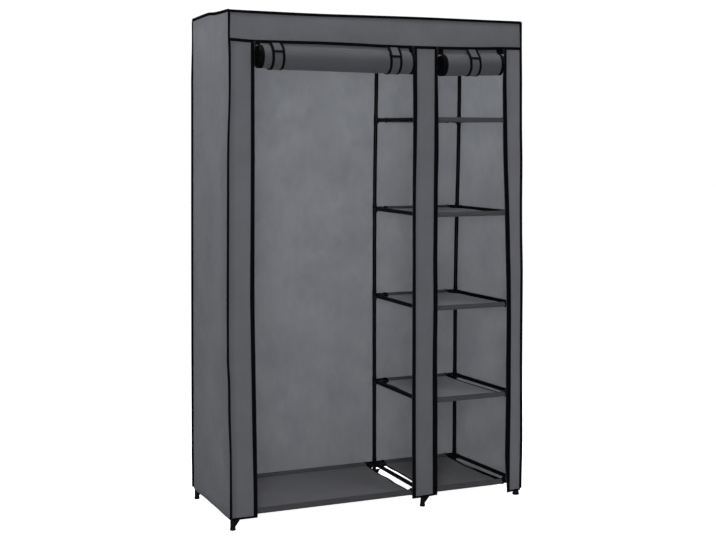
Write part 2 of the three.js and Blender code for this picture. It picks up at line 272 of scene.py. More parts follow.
def tape_profile(w, t, n=4):
    """A folded tape: a flat stadium, w wide and t thick."""
    r = t / 2
    right = [(w / 2 - r + r * math.cos(a), r * math.sin(a)) for a in np.linspace(-math.pi / 2, math.pi / 2, n + 1)]
    left = [(-w / 2 + r - r * math.cos(a), -r * math.sin(a)) for a in np.linspace(-math.pi / 2, math.pi / 2, n + 1)]
    mid_up = [(x, r) for x in np.linspace(w / 4, -w / 4, 3)]
    mid_down = [(x, -r) for x in np.linspace(-w / 4, w / 4, 3)]
    return np.array(right + mid_up + left + mid_down)


def oval(a, b, n=12):
    t = np.linspace(0, 2 * math.pi, n, endpoint=False)
    return np.stack([a * np.cos(t), b * np.sin(t)], 1)


def basis(direction):
    d = unit(direction)
    other = np.array([0, 0, 1.0]) if abs(d[2]) < 0.9 else np.array([1.0, 0, 0])
    a = unit(np.cross(other, d))
    return a, np.cross(d, a), d


def lathe_data(profile, origin, direction, sides=28):
    """A turned solid: profile is (radius, distance) pairs; a pair with radius 0 closes on the axis."""
    a, b, d = basis(direction)
    origin = np.asarray(origin, float)
    verts, rings, faces = [], [], []
    for r, h in profile:
        if r < 1e-9:
            rings.append([len(verts)])
            verts.append(origin + d * h)
        else:
            rings.append(list(range(len(verts), len(verts) + sides)))
            for k in range(sides):
                t = 2 * math.pi * k / sides
                verts.append(origin + d * h + a * r * math.cos(t) + b * r * math.sin(t))
    for p, q in zip(rings[:-1], rings[1:]):
        for k in range(sides):
            k2 = (k + 1) % sides
            if len(p) == 1 and len(q) > 1:
                faces.append([p[0], q[k2], q[k]])
            elif len(q) == 1 and len(p) > 1:
                faces.append([p[k], p[k2], q[0]])
            elif len(p) > 1:
                faces.append([p[k], p[k2], q[k2], q[k]])
    return np.array(verts), faces


def tube_data(a, b, r, wall=0.0006, sides=24, rings=1):
    """An open steel tube with its wall."""
    a, b = np.asarray(a, float), np.asarray(b, float)
    L = float(np.linalg.norm(b - a))
    e = min(0.0004, wall / 3)
    at = np.linspace(e, L - e, rings + 1)
    prof = [(r - wall, 0), (r - e, 0)] + [(r, h) for h in at] + [(r - e, L), (r - wall, L)]
    prof += [(r - wall, h) for h in at[::-1][1:-1]]
    verts, faces = lathe_data(prof, a, b - a, sides)
    k = sides
    n = len(prof)
    for j in range(k):
        j2 = (j + 1) % k
        faces.append([(n - 1) * k + j, (n - 1) * k + j2, j2, j])
    return verts, faces


def together(parts):
    verts, faces, n = [], [], 0
    for v, f in parts:
        verts.append(np.asarray(v, float))
        faces += [[i + n for i in q] for q in f]
        n += len(v)
    return np.concatenate(verts), faces


def united(parts, taken=()):
    """One closed body from overlapping closed ones, with others cut away."""
    def temp(v, f):
        me = bpy.data.meshes.new("temp")
        me.from_pydata(np.asarray(v).tolist(), [], [list(map(int, q)) for q in f])
        bm = bmesh.new()
        bm.from_mesh(me)
        bmesh.ops.recalc_face_normals(bm, faces=bm.faces)
        bm.to_mesh(me)
        bm.free()
        ob = bpy.data.objects.new("temp", me)
        bpy.context.scene.collection.objects.link(ob)
        return ob
    obs = [temp(*p) for p in parts]
    cuts = [temp(*p) for p in taken]
    first = obs[0]
    for o, op in [(o, "UNION") for o in obs[1:]] + [(o, "DIFFERENCE") for o in cuts]:
        m = first.modifiers.new("b", "BOOLEAN")
        m.operation, m.object, m.solver = op, o, "EXACT"
    dg = bpy.context.evaluated_depsgraph_get()
    e = first.evaluated_get(dg)
    me = e.to_mesh()
    v = np.array([p.co[:] for p in me.vertices])
    f = [list(p.vertices) for p in me.polygons]
    e.to_mesh_clear()
    for o in obs + cuts:
        me = o.data
        bpy.data.objects.remove(o)
        bpy.data.meshes.remove(me)
    return v, f


# ------------------------------------------------------------ materials
class Tree:
    """Short names for building a node tree."""

    def __init__(self, name):
        self.mat = bpy.data.materials.new(name)
        self.mat.use_nodes = True
        self.nt = self.mat.node_tree
        self.bsdf = self.nt.nodes["Principled BSDF"]

    def add(self, kind, **values):
        n = self.nt.nodes.new(kind)
        for k, v in values.items():
            if hasattr(n, k) and k not in n.inputs:
                setattr(n, k, v)
            else:
                n.inputs[k].default_value = v
        return n

    def link(self, a, b):
        self.nt.links.new(a, b)
        return b

    def math(self, op, a, b=None, c=None, clamp=False):
        n = self.nt.nodes.new("ShaderNodeMath")
        n.operation, n.use_clamp = op, clamp
        for i, v in enumerate((a, b, c)):
            if v is None:
                continue
            if isinstance(v, (int, float)):
                n.inputs[i].default_value = v
            else:
                self.link(v, n.inputs[i])
        return n.outputs[0]

    def span(self, value, a, b, c, d):
        n = self.nt.nodes.new("ShaderNodeMapRange")
        self.link(value, n.inputs["Value"])
        for k, v in (("From Min", a), ("From Max", b), ("To Min", c), ("To Max", d)):
            n.inputs[k].default_value = v
        return n.outputs["Result"]

    def noise(self, vector, scale, detail=2.0, rough=0.5, distortion=0.0):
        n = self.add("ShaderNodeTexNoise", Scale=scale, Detail=detail, Roughness=rough, Distortion=distortion)
        self.link(vector, n.inputs["Vector"])
        return n.outputs["Fac"]

    def mapped(self, vector, scale=(1, 1, 1), rotation=(0, 0, 0)):
        n = self.add("ShaderNodeMapping")
        n.inputs["Scale"].default_value = scale
        n.inputs["Rotation"].default_value = rotation
        self.link(vector, n.inputs["Vector"])
        return n.outputs["Vector"]

    def mix(self, fac, a, b):
        n = self.nt.nodes.new("ShaderNodeMix")
        n.data_type = "RGBA"
        if isinstance(fac, (int, float)):
            n.inputs[0].default_value = fac
        else:
            self.link(fac, n.inputs[0])
        for i, v in ((6, a), (7, b)):
            if isinstance(v, tuple):
                n.inputs[i].default_value = (*v, 1)
            else:
                self.link(v, n.inputs[i])
        return n.outputs[2]

    def bump(self, height, strength, distance, normal=None):
        n = self.add("ShaderNodeBump", Strength=strength, Distance=distance)
        self.link(height, n.inputs["Height"])
        if normal is not None:
            self.link(normal, n.inputs["Normal"])
        return n.outputs["Normal"]

    def coord(self, which="UV"):
        return self.nt.nodes.new("ShaderNodeTexCoord").outputs[which]


def shade(rgb, k):
    return tuple(min(1.0, c * k) for c in rgb)


def non_woven(name, rgb, coords="UV", cloud=0.09, flat_axes=None, crumple=1.0, through=0.0, seam=None):
    """Spun-bonded cloth: a lattice of small bond points, loose fibres between
    them, a cloudy density and soft creases."""
    t = Tree(name)
    uv = t.coord(coords)
    if flat_axes == "xz":
        sep = t.add("ShaderNodeSeparateXYZ")
        t.link(uv, sep.inputs[0])
        com = t.add("ShaderNodeCombineXYZ")
        t.link(sep.outputs[0], com.inputs[0])
        t.link(sep.outputs[2], com.inputs[1])
        uv = com.outputs[0]
    turned = t.mapped(uv, rotation=(0, 0, math.radians(45)))
    dots = t.add("ShaderNodeTexVoronoi", Scale=700.0, Randomness=0.0)
    dots.feature = "F1"
    t.link(turned, dots.inputs["Vector"])
    bond = t.span(dots.outputs["Distance"], 0.16, 0.34, 0.0, 1.0)
    fibre = t.noise(t.mapped(uv, scale=(1.0, 0.45, 1.0)), 2600, 3, 0.6, 1.2)
    clouds = t.noise(uv, 7.0, 5, 0.55, 0.3)
    blotch = t.noise(t.mapped(uv, scale=(1.0, 0.6, 1.0)), 34.0, 4, 0.6)
    creases = t.noise(t.mapped(uv, scale=(1.0, 0.55, 1.0)), 13.0, 4, 0.55, 0.6)
    tone = t.math("ADD", t.math("MULTIPLY", clouds, 0.62), t.math("MULTIPLY", blotch, 0.38))
    tone = t.span(tone, 0.36, 0.64, 0.0, 1.0)
    colour = t.mix(tone, shade(rgb, 1 - cloud), shade(rgb, 1 + cloud))
    colour = t.mix(t.math("MULTIPLY", t.math("SUBTRACT", 1.0, bond), 0.22), colour, shade(rgb, 0.55))
    colour = t.mix(t.span(fibre, 0.35, 0.75, 0.0, 0.16), colour, shade(rgb, 1.5))
    if seam:
        # painted shade: the colour is darkened beside a sewn edge, where shade falls under the piping
        axis, a, b, painted_shade_depth = seam
        sep = t.add("ShaderNodeSeparateXYZ")
        t.link(uv, sep.inputs[0])
        near = t.span(t.math("ADD", sep.outputs[axis], t.math("MULTIPLY", blotch, 0.25 * (b - a))), a, b, 0.0, painted_shade_depth)
        colour = t.mix(near, colour, shade(rgb, 0.3))
    t.link(colour, t.bsdf.inputs["Base Color"])
    rough = t.span(blotch, 0.3, 0.7, 0.8, 0.92)
    t.link(rough, t.bsdf.inputs["Roughness"])
    n1 = t.bump(creases, 0.55 * crumple, 0.006)
    n2 = t.bump(blotch, 0.35 * crumple, 0.0016, n1)
    n3 = t.bump(bond, 0.55, 0.00012, n2)
    n4 = t.bump(fibre, 0.3, 0.00006, n3)
    t.link(n4, t.bsdf.inputs["Normal"])
    t.bsdf.inputs["Sheen Weight"].default_value = 0.1
    t.bsdf.inputs["Sheen Roughness"].default_value = 0.5
    t.bsdf.inputs["Specular IOR Level"].default_value = 0.25
    if through:
        # some light comes through the thin cloth, more where it is thinner
        glow = t.add("ShaderNodeBsdfTranslucent")
        t.link(t.mix(tone, (0.80, 0.82, 0.86), (0.96, 0.98, 1.0)), glow.inputs["Color"])
        t.link(n4, glow.inputs["Normal"])
        both = t.add("ShaderNodeMixShader")
        both.inputs[0].default_value = through
        t.link(t.bsdf.outputs[0], both.inputs[1])
        t.link(glow.outputs[0], both.inputs[2])
        t.link(both.outputs[0], t.nt.nodes["Material Output"].inputs["Surface"])
    return t.mat


def woven_tape(name, rgb=(0.0017, 0.0017, 0.0025), stitch=True, rib=0.0007):
    """Black woven binding or zip tape: fine ribs across and a row of
    lockstitches 1.8 mm inside its edge."""
    t = Tree(name)
    uv = t.coord("UV")
    sep = t.add("ShaderNodeSeparateXYZ")
    t.link(uv, sep.inputs[0])
    u, v = sep.outputs[0], sep.outputs[1]
    ribs = t.math("SINE", t.math("MULTIPLY", u, 2 * math.pi / rib))
    cross = t.math("SINE", t.math("MULTIPLY", t.math("ADD", v, t.math("MULTIPLY", u, 0.3)), 2 * math.pi / 0.0009))
    weave = t.math("MULTIPLY", ribs, cross)
    fuzz = t.noise(uv, 1500, 3, 0.6)
    colour = t.mix(t.span(fuzz, 0.3, 0.7, 0.0, 1.0), shade(rgb, 0.75), shade(rgb, 1.45))
    height = t.math("ADD", t.math("MULTIPLY", weave, 0.5), t.math("MULTIPLY", fuzz, 0.5))
    normal = t.bump(height, 0.5, 0.00014)
    if stitch:
        near = t.math("SUBTRACT", 1.0, t.span(t.math("ABSOLUTE", t.math("SUBTRACT", v, 0.0018)), 0.00018, 0.0004, 0.0, 1.0))
        step = t.math("FRACT", t.math("DIVIDE", u, 0.0032))
        dash = t.math("MULTIPLY", t.span(step, 0.04, 0.12, 0.0, 1.0), t.span(step, 0.74, 0.84, 1.0, 0.0))
        thread = t.math("MULTIPLY", near, dash)
        colour = t.mix(t.math("MULTIPLY", thread, 0.8), colour, (0.0075, 0.0075, 0.009))
        normal = t.bump(thread, 0.8, 0.0004, normal)
    t.link(colour, t.bsdf.inputs["Base Color"])
    t.link(t.span(fuzz, 0.3, 0.7, 0.6, 0.8), t.bsdf.inputs["Roughness"])
    t.link(normal, t.bsdf.inputs["Normal"])
    t.bsdf.inputs["Specular IOR Level"].default_value = 0.02
    t.bsdf.inputs["Sheen Weight"].default_value = 0.002
    return t.mat


def coated_steel(name):
    """Black powder coat on thin tube: orange peel and faint rub marks."""
    t = Tree(name)
    p = t.coord("Object")
    peel = t.noise(p, 900, 3, 0.55)
    marks = t.noise(t.mapped(p, scale=(1, 1, 0.12)), 160, 5, 0.7, 0.4)
    worn = t.span(marks, 0.62, 0.72, 0.0, 1.0)
    colour = t.mix(t.math("MULTIPLY", worn, 0.35), (0.0018, 0.0018, 0.0026), (0.006, 0.006, 0.007))
    t.link(colour, t.bsdf.inputs["Base Color"])
    t.link(t.span(marks, 0.3, 0.72, 0.36, 0.5), t.bsdf.inputs["Roughness"])
    t.link(t.bump(peel, 0.25, 0.00012), t.bsdf.inputs["Normal"])
    t.bsdf.inputs["Specular IOR Level"].default_value = 0.06
    return t.mat


def moulded(name, rgb=(0.0024, 0.0024, 0.003), rough=(0.42, 0.56)):
    """Moulded black plastic with a fine spark-eroded grain."""
    t = Tree(name)
    p = t.coord("Object")
    grain = t.noise(p, 2300, 2, 0.5)
    dull = t.noise(p, 60, 4, 0.6)
    t.link(t.mix(t.span(dull, 0.35, 0.65, 0.0, 1.0), shade(rgb, 0.85), shade(rgb, 1.3)), t.bsdf.inputs["Base Color"])
    t.link(t.span(dull, 0.3, 0.7, *rough), t.bsdf.inputs["Roughness"])
    t.link(t.bump(grain, 0.3, 0.00008, t.bump(dull, 0.12, 0.0005)), t.bsdf.inputs["Normal"])
    t.bsdf.inputs["Specular IOR Level"].default_value = 0.09
    return t.mat


def enamel(name):
    """Black enamel on die-cast zip sliders, rubbed at the high spots."""
    t = Tree(name)
    p = t.coord("Object")
    rub = t.noise(p, 420, 4, 0.65)
    colour = t.mix(t.span(rub, 0.62, 0.75, 0.0, 0.5), (0.002, 0.002, 0.0026), (0.007, 0.007, 0.008))
    t.link(colour, t.bsdf.inputs["Base Color"])
    t.link(t.span(rub, 0.3, 0.7, 0.34, 0.5), t.bsdf.inputs["Roughness"])
    t.bsdf.inputs["Specular IOR Level"].default_value = 0.18
    t.link(t.bump(rub, 0.15, 0.0001), t.bsdf.inputs["Normal"])
    t.bsdf.inputs["Coat Weight"].default_value = 0.02
    t.bsdf.inputs["Coat Roughness"].default_value = 0.25
    return t.mat


OUT = (0.098, 0.100, 0.112)      # cloth outside
IN = (0.098, 0.1005, 0.111)       # cloth inside, paler
ROLLED = (0.048, 0.050, 0.056)
SHELF = (0.098, 0.099, 0.110)
SLEEVE = (0.040, 0.041, 0.046)   # the shelf sleeves, darker than the rest of the shelf cloth
THROUGH = 0.35                   # share of the light that goes on into the cloth
M_OUT = non_woven("cloth_outside", shade(OUT, 1 / (1 - THROUGH)), through=THROUGH)
# painted light: the side panels get a copy of the outside cloth 16 % lighter, for the light they catch
M_SIDE_PAINTED_LIGHT = non_woven("cloth_side_painted_light", shade(OUT, 1.16 / (1 - THROUGH)), through=THROUGH)
# painted shade: the left and middle stiles get a copy of the outside cloth 4 % darker, and painted shade beside their
# left edges
M_STILE_PAINTED_SHADE = non_woven("cloth_stile", shade(OUT, 0.96), seam=(0, 0.024, 0.0, 0.42))
# painted light and shade: the right stile gets a copy of the outside cloth 12 % lighter, with painted shade beside its
# left edge
M_STILE_RIGHT_PAINTED_LIGHT_AND_SHADE = non_woven("cloth_stile_right_painted_light_and_shade", shade(OUT, 1.123), seam=(0, 0.024, 0.0, 0.42))
# painted shade: the header gets a copy of the outside cloth 7 % darker, and painted shade under the piping of its top
# seam
M_HEADER_PAINTED_SHADE = non_woven("cloth_header_painted_shade", shade(OUT, 0.93), seam=(1, 1.727, 1.743, 0.55))
M_IN = non_woven("cloth_inside", shade(IN, 1 / (1 - THROUGH)), cloud=0.07, through=THROUGH)
M_LINING = non_woven("cloth_inside_front", IN, cloud=0.07)
M_DOOR = non_woven("cloth_door", ROLLED, crumple=0.8)
M_WEB = non_woven("cloth_door_hanging", shade(ROLLED, 1.1), coords="Object", flat_axes="xz")
M_TIE = non_woven("cloth_tie", shade(ROLLED, 0.95), crumple=0.4)
# painted light: the upper shelves get a copy of the cloth three times as light, for the light and sheen the shelf cloth
# catches
M_SHELF_PAINTED_LIGHT = non_woven("cloth_shelf", shade(SHELF, 3.0), crumple=0.9)
# painted light: the base shelves get a copy of the cloth 15 % lighter
M_BASE_SHELF_PAINTED_LIGHT = non_woven("cloth_base_shelf_painted_light", shade(SHELF, 1.15), crumple=0.9)
M_SLEEVE = non_woven("cloth_shelf_sleeve", SLEEVE, crumple=0.6)
# painted light: the back sleeves get a copy of the sleeve cloth 60 % lighter, for the light they catch
M_SLEEVE_BACK_PAINTED_LIGHT = non_woven("cloth_shelf_sleeve_back_painted_light", shade(SLEEVE, 1.6), crumple=0.6)
M_BIND = woven_tape("binding_tape")
M_ZIP = woven_tape("zip_tape", rib=0.0009)
M_ZIP_HANG = woven_tape("zip_tape_hanging", stitch=False)
M_TEETH = moulded("zip_coil", (0.0024, 0.0024, 0.003), (0.3, 0.42))
M_TUBE = coated_steel("coated_steel")
M_PLASTIC = moulded("connector_plastic")
M_FOOT = moulded("foot_plastic", (0.0026, 0.0026, 0.003), (0.5, 0.64))
M_SLIDER = enamel("slider_enamel")


# ------------------------------------------------------------ frame: tubes
def put(name, data, mat, node=None, body=BODY, sharp=38):
    v, f = data
    ob = make(name, v, f, mat, body, outward=True, sharp=sharp,
              lean=None if body != BODY else "post" if "upright" in name or "foot" in name else "levels")
    if node:
        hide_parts(*([node] if isinstance(node, str) else node))
    return ob


def post(side, end):
    return POSTS[side][0 if end == "front" else 1], (-POST_Y if end == "front" else POST_Y)


for side in POSTS:
    for end in ("front", "back"):
        x, y = post(side, end)
        # two lengths that meet inside the middle shelf connector, with a swaged joint line
        put(f"{end}_{side}_upright_tube", together([
            tube_data((x, y, 0.0357), (x, y, 0.8795), TUBE, rings=12),
            tube_data((x, y, 0.8803), (x, y, 1.7283), TUBE, rings=12),
        ]), M_TUBE, f"{end}_{side}_upright")


def arm_profile(length, r=0.0083, mouth=0.0087):
    """A connector's arm from its middle to its mouth, with a collar there."""
    return [(0, 0), (r, 0), (r, length - 0.0042), (mouth - 0.0001, length - 0.0036), (mouth, length - 0.003),
            (mouth, length - 0.0006), (mouth - 0.0006, length), (0, length)]


def bore(a, b, r):
    d = np.asarray(b, float) - np.asarray(a, float)
    return lathe_data([(0, 0), (r, 0), (r, float(np.linalg.norm(d))), (0, float(np.linalg.norm(d)))], a, d, 20)


def connector(arms, up, down, bore_z, lean=0.0, inward=1, short=None):
    """arms: X directions; up, down: reach of the sleeve; bore_z: ends of its hole."""
    solids = [lathe_data([(0, down), (0.0079, down), (0.0087, down + 0.0008), (0.0087, down + 0.003), (0.0083, down + 0.0038),
                          (0.0083, up - 0.0038)]
                         + ([(0.0087, up - 0.003), (0.0087, up - 0.0008), (0.0079, up), (0, up)] if up > 0.01 else
                            [(0.0082, up - 0.0034), (0.0072, up - 0.0021), (0.0055, up - 0.0010), (0.003, up - 0.0003), (0, up)]),
                         (0, 0, 0), (0, 0, 1), 24)]
    reach = 0.030
    solids.append(lathe_data(arm_profile(reach), (0, 0, 0), (lean, inward, 0), 24))
    taken = [bore((0, 0, bore_z[0]), (0, 0, bore_z[1]), 0.0076)]
    a, b, d = basis((lean, inward, 0))
    taken.append(bore(d * 0.012, d * 0.036, 0.0076))
    for s in arms:
        solids.append(lathe_data(arm_profile(reach), (0, 0, 0), (s, 0, 0), 24))
        taken.append(bore((s * 0.0102, 0, 0), (s * 0.036, 0, 0), 0.0076))
        if down > -0.03:
            # the web in the corner between the two arms
            w = 0.0042
            web = np.array([(0.0, 0.0), (s * 0.0340, 0.0), (s * 0.0340, inward * 0.0400), (lean * 0.044, inward * 0.0440)])
            if (web[1, 0] * web[3, 1] - web[1, 1] * web[3, 0]) < 0:
                web = web[[0, 3, 2, 1]]
            solids.append((np.concatenate([np.column_stack([web, np.full(4, -w)]), np.column_stack([web, np.full(4, w)])]),
                           [[3, 2, 1, 0], [4, 5, 6, 7], [0, 1, 5, 4], [1, 2, 6, 5], [2, 3, 7, 6], [3, 0, 4, 7]]))
        # a rib under the arm, where it meets the sleeve
        w = 0.0011
        g = [(s * 0.006, -w, -0.006), (s * 0.016, -w, -0.0078), (s * 0.0075, -w, -0.0155), (s * 0.006, w, -0.006),
             (s * 0.016, w, -0.0078), (s * 0.0075, w, -0.0155)]
        if down < -0.017:
            solids.append((np.array(g), [[0, 1, 2], [3, 5, 4], [0, 3, 4, 1], [1, 4, 5, 2], [2, 5, 3, 0]]))
    return united(solids, taken)


def moved(data, x, y, z):
    return np.asarray(data[0]) + np.array([x, y, z]), data[1]


def rail(node, side, z, arms, up, down, bore_z):
    (xf, yf), (xb, yb) = post(side, "front"), post(side, "back")
    lean = (xb - xf) / (yb - yf)
    for end, x, y, way in (("front", xf, yf, 1), ("back", xb, yb, -1)):
        key = (tuple(arms), up, down, bore_z, round(lean * way, 5), way)
        if key not in rail.made:
            rail.made[key] = connector(arms, up, down, bore_z, lean * way, way)
        put(f"{node}_connector_{end}", moved(rail.made[key], x, y, z), M_PLASTIC, node)
    p, q = np.array([xf, yf, z]), np.array([xb, yb, z])
    d = unit(q - p)
    put(f"{node}_tube", tube_data(p + d * 0.0122, q - d * 0.0122, TUBE), M_TUBE, node)


rail.made = {}
INWARD = {"left": (1,), "middle": (-1, 1), "right": (-1,)}
for side in POSTS:
    rail(f"base_rail_{side}", side, LEVELS[0], INWARD[side], 0.024, -0.0118, (-0.02, 0.03))
    rail(f"top_rail_{side}", side, TOP_Z, INWARD[side], 0.0087, -0.038, (-0.045, -0.0093))
for level in range(1, 5):
    for side, s in (("middle", 1), ("right", -1)):
        rail(f"shelf_{level}_rail_{side}", side, LEVELS[level], (s,), 0.019, -0.019, (-0.03, 0.03))

put("top_rail_front_tube", tube_data((-0.5376, -POST_Y, TOP_Z), (0.5376, -POST_Y, TOP_Z), TUBE), M_TUBE, "top_rail_front")
put("top_rail_back_tube", tube_data((-0.5376, POST_Y, TOP_Z), (0.5196, POST_Y, TOP_Z), TUBE), M_TUBE, "top_rail_back")
put("hanging_rail_tube", tube_data((-0.5376, 0, TOP_Z), (0.1581, 0, TOP_Z), TUBE), M_TUBE, "hanging_rail")
for side, s in (("left", 1), ("middle", -1)):
    x = POSTS[side][0]
    solids = [lathe_data([(0, -0.017), (0.0081, -0.017), (0.0087, -0.0162), (0.0087, -0.014), (0.0083, -0.0132), (0.0083, 0.0132),
                          (0.0087, 0.014), (0.0087, 0.0162), (0.0081, 0.017), (0, 0.017)], (x, 0, TOP_Z), (0, 1, 0), 24),
              lathe_data(arm_profile(0.030), (x, 0, TOP_Z), (s, 0, 0), 24)]
    taken = [bore((x, -0.03, TOP_Z), (x, 0.03, TOP_Z), 0.0076),
             bore((x + s * 0.0102, 0, TOP_Z), (x + s * 0.036, 0, TOP_Z), 0.0076)]
    put(f"hanging_rail_tee_{side}", united(solids, taken), M_PLASTIC, f"top_rail_{side}")

# ------------------------------------------------------------ frame: feet
foot_profile = [(0, 0.0), (0.0088, 0.0), (0.0094, 0.0004), (0.0098, 0.0012), (0.0098, 0.0046), (0.0096, 0.0054), (0.0089, 0.0074),
                (0.0086, 0.0092), (0.0086, 0.0336), (0.0084, 0.0343), (0.0078, 0.0347), (0.0054, 0.0347), (0.0054, 0.06), (0.0046, 0.0618), (0, 0.0618)]
w = 0.0018
web = np.array([(0.004, 0.009), (0.009, 0.012), (0.0125, 0.0158), (0.026, 0.0347), (0.004, 0.0347)])
web_v = np.concatenate([np.column_stack([web[:, 0], np.full(5, -w), web[:, 1]]), np.column_stack([web[:, 0], np.full(5, w), web[:, 1]])])
web_f = [[0, 1, 2, 3, 4], [9, 8, 7, 6, 5]] + [[i, i + 5, (i + 1) % 5 + 5, (i + 1) % 5] for i in range(5)]
foot = united([lathe_data(foot_profile, (0, 0, 0), (0, 0, 1), 36), (web_v, web_f)])
for side in POSTS:
    for end in ("front", "back"):
        x, y = post(side, end)
        v = foot[0].copy()
        if side == "right":
            v[:, :2] *= -1
            v[:, :2] *= np.where(v[:, 2:] < 0.0120, 1.28, 1.05)
        if side == "middle" and end == "front":
            # this foot stands a little to the left of its post
            v[:, 0] -= 0.0026 * ease((0.036 - v[:, 2]) / 0.02)
        put(f"{end}_{side}_foot_moulding", (v + np.array([x, y, 0]), foot[1]), M_FOOT, f"{end}_{side}_foot")


# ------------------------------------------------------------ shelves
def shelf(name, level, tube_x, edge_l, edge_r, sag, seed, wavy=0.0012, cloth=M_SHELF_PAINTED_LIGHT, tape=0.0082):
    """edge_l, edge_r: x of the cloth's side edges as functions of y."""
    z0 = LEVELS[level]
    r = 0.0084
    # path of the cloth in (y, z): seam under the front sleeve, round the tube, over, and the same at the back
    q = []
    q += [(-POST_Y + 0.022, 0.0052), (-POST_Y + 0.016, 0.0008), (-POST_Y + 0.009, -0.0042)]
    for a in np.linspace(-40, 0, 4):
        q.append((-POST_Y + r * math.sin(math.radians(-a)) * 0.9, -r * math.cos(math.radians(a))))
    for a in np.linspace(12, 180, 15):
        q.append((-POST_Y - 0.93 * r * math.sin(math.radians(a)), -r * math.cos(math.radians(a))))
    # the cloth comes off the sleeves low, so that these stand up at both ends of the shelf
    top = np.linspace(-POST_Y + 0.006, POST_Y - 0.006, 64)
    back = [(-y, z) for y, z in q[::-1]]
    q = np.array(q + [(y, r - 0.0001 - 0.0098 * float(ease((POST_Y - 0.006 - abs(y)) / 0.017))) for y in top] + back)
    s = lengths(q)
    nx = max(16, int((tube_x[1] - tube_x[0]) / 0.009))
    t = np.linspace(0, 1, nx)
    Y, T = np.meshgrid(q[:, 0], t, indexing="ij")
    Z = np.repeat(q[:, 1][:, None], nx, 1)
    S = np.repeat(s[:, None], nx, 1)
    xl = np.array([edge_l(y) for y in q[:, 0]])
    xr = np.array([edge_r(y) for y in q[:, 0]])
    wave_l = wavy * vnoise(q[:, 0] * 17, 0.5, seed)
    wave_r = wavy * vnoise(q[:, 0] * 17, 0.5, seed + 9)
    X = (xl + wave_l)[:, None] * (1 - T) + (xr + wave_r)[:, None] * T
    mid = np.clip(1 - (Y / (POST_Y - 0.008)) ** 2, 0, 1)
    on_top = (np.arange(len(q)) >= 22) & (np.arange(len(q)) < 22 + len(top))
    lift = np.where(on_top[:, None], 1.0, 0.0) * mid
    edge_curl = np.exp(-((T) / 0.05) ** 2) + np.exp(-((1 - T) / 0.05) ** 2)
    dip = sag * lift * (0.75 + 0.25 * vnoise(X * 5, Y * 4, seed + 1))
    fold = 0.0009 * lift**0.5 * fbm(X * 34, Y * 6, seed + 2, 3)
    curl = 0.0022 * lift * edge_curl * vnoise(Y * 14, T * 3, seed + 3)
    Z = z0 + Z - dip + fold + curl
    P = np.stack([X, Y, Z], -1)
    UV = np.stack([X, S], -1)
    seam = float(s[22])
    P = settle(P, True)
    # the back sleeves take the lighter copy of the sleeve cloth, which is painted light
    ob = shell(name, P, UV, [cloth, M_SLEEVE, M_SLEEVE_BACK_PAINTED_LIGHT], t=0.0007,
               pick=lambda u, v: (v < seam + 0.017).astype(int) + 2 * (v > s[-1] - seam - 0.017).astype(int))
    # the side edges are bound with narrow tape, all along the path of the cloth
    for k, (tag, sign) in ((0, ("left", -1)), (-1, ("right", 1))):
        path = P[:, k].copy()
        path[:, 0] -= sign * 0.0016
        N = unit(np.cross(np.gradient(P, axis=0), np.gradient(P, axis=1)))[:, k]
        A = unit(np.array([sign, 0, 0]) - N * N[:, :1] * sign)
        wide = tape if tag == "left" else 0.0082
        if tag == "left":
            # a wide tape lies over the rail, a little above it
            path[:, 2] += np.where(on_top, 1, 0) * mid[:, 0] * (wide - 0.0082) * 0.55
            path[:, 0] += (wide - 0.0082) * 0.25
        sweep(f"{name}_binding_{tag}", path, A, N, tape_profile(wide, 0.0030, 3), M_BIND)
    # seams that close the sleeves: a raised row of thread
    for tag, yy in (("front", -POST_Y + 0.0215), ("back", POST_Y - 0.0215)):
        i = int(np.argmin(np.abs(np.where(on_top, q[:, 0], 9) - yy)))
        N = unit(np.cross(np.gradient(P, axis=0), np.gradient(P, axis=1)))[i]
        parts, x = [], 0.004
        row = P[i]
        length = lengths(row)
        while x < length[-1] - 0.004:
            c = [np.interp(x, length, row[:, j]) for j in range(3)]
            e = [np.interp(x + 0.0026, length, row[:, j]) for j in range(3)]
            n = [np.interp(x, length, N[:, j]) for j in range(3)]
            n = np.asarray(n) * (1 if N[0, 2] > 0 else -1)
            c, e = np.array(c) + n * 0.00045, np.array(e) + n * 0.00045
            v, f, _ = sweep_data([c, (c + e) / 2 + n * 0.00012, e], (0, 1, 0), n, oval(0.00032, 0.00026, 6))
            parts.append((v, f))
            x += 0.0036
        v, f = together(parts)
        make(f"{name}_stitches_{tag}", v, f, M_BIND, outward=True,
                          uv=np.column_stack([v[:, 0], np.full(len(v), 0.004)]))
    return ob


def cross_tubes(node, z, x0, x1, xb1):
    for tag, y, end in (("front", -POST_Y, x1), ("back", POST_Y, xb1)):
        put(f"{node}_tube_{tag}", tube_data((x0, y, z), (end, y, z), 0.0070), M_TUBE, node)


def along_rail(rail_x, mouth, gap, sign):
    """A side edge of the cloth: in the sleeves it stops at the connectors' mouths,
    between them it runs beside the rail."""
    def f(y):
        y = np.asarray(y, float)
        lean = rail_x[0] + (rail_x[1] - rail_x[0]) * (y + POST_Y) / (2 * POST_Y)
        near = ease((POST_Y - 0.014 - np.abs(y)) / 0.06)
        return float(lean + sign * (mouth * (1 - near) + (TUBE + gap) * near))
    return f


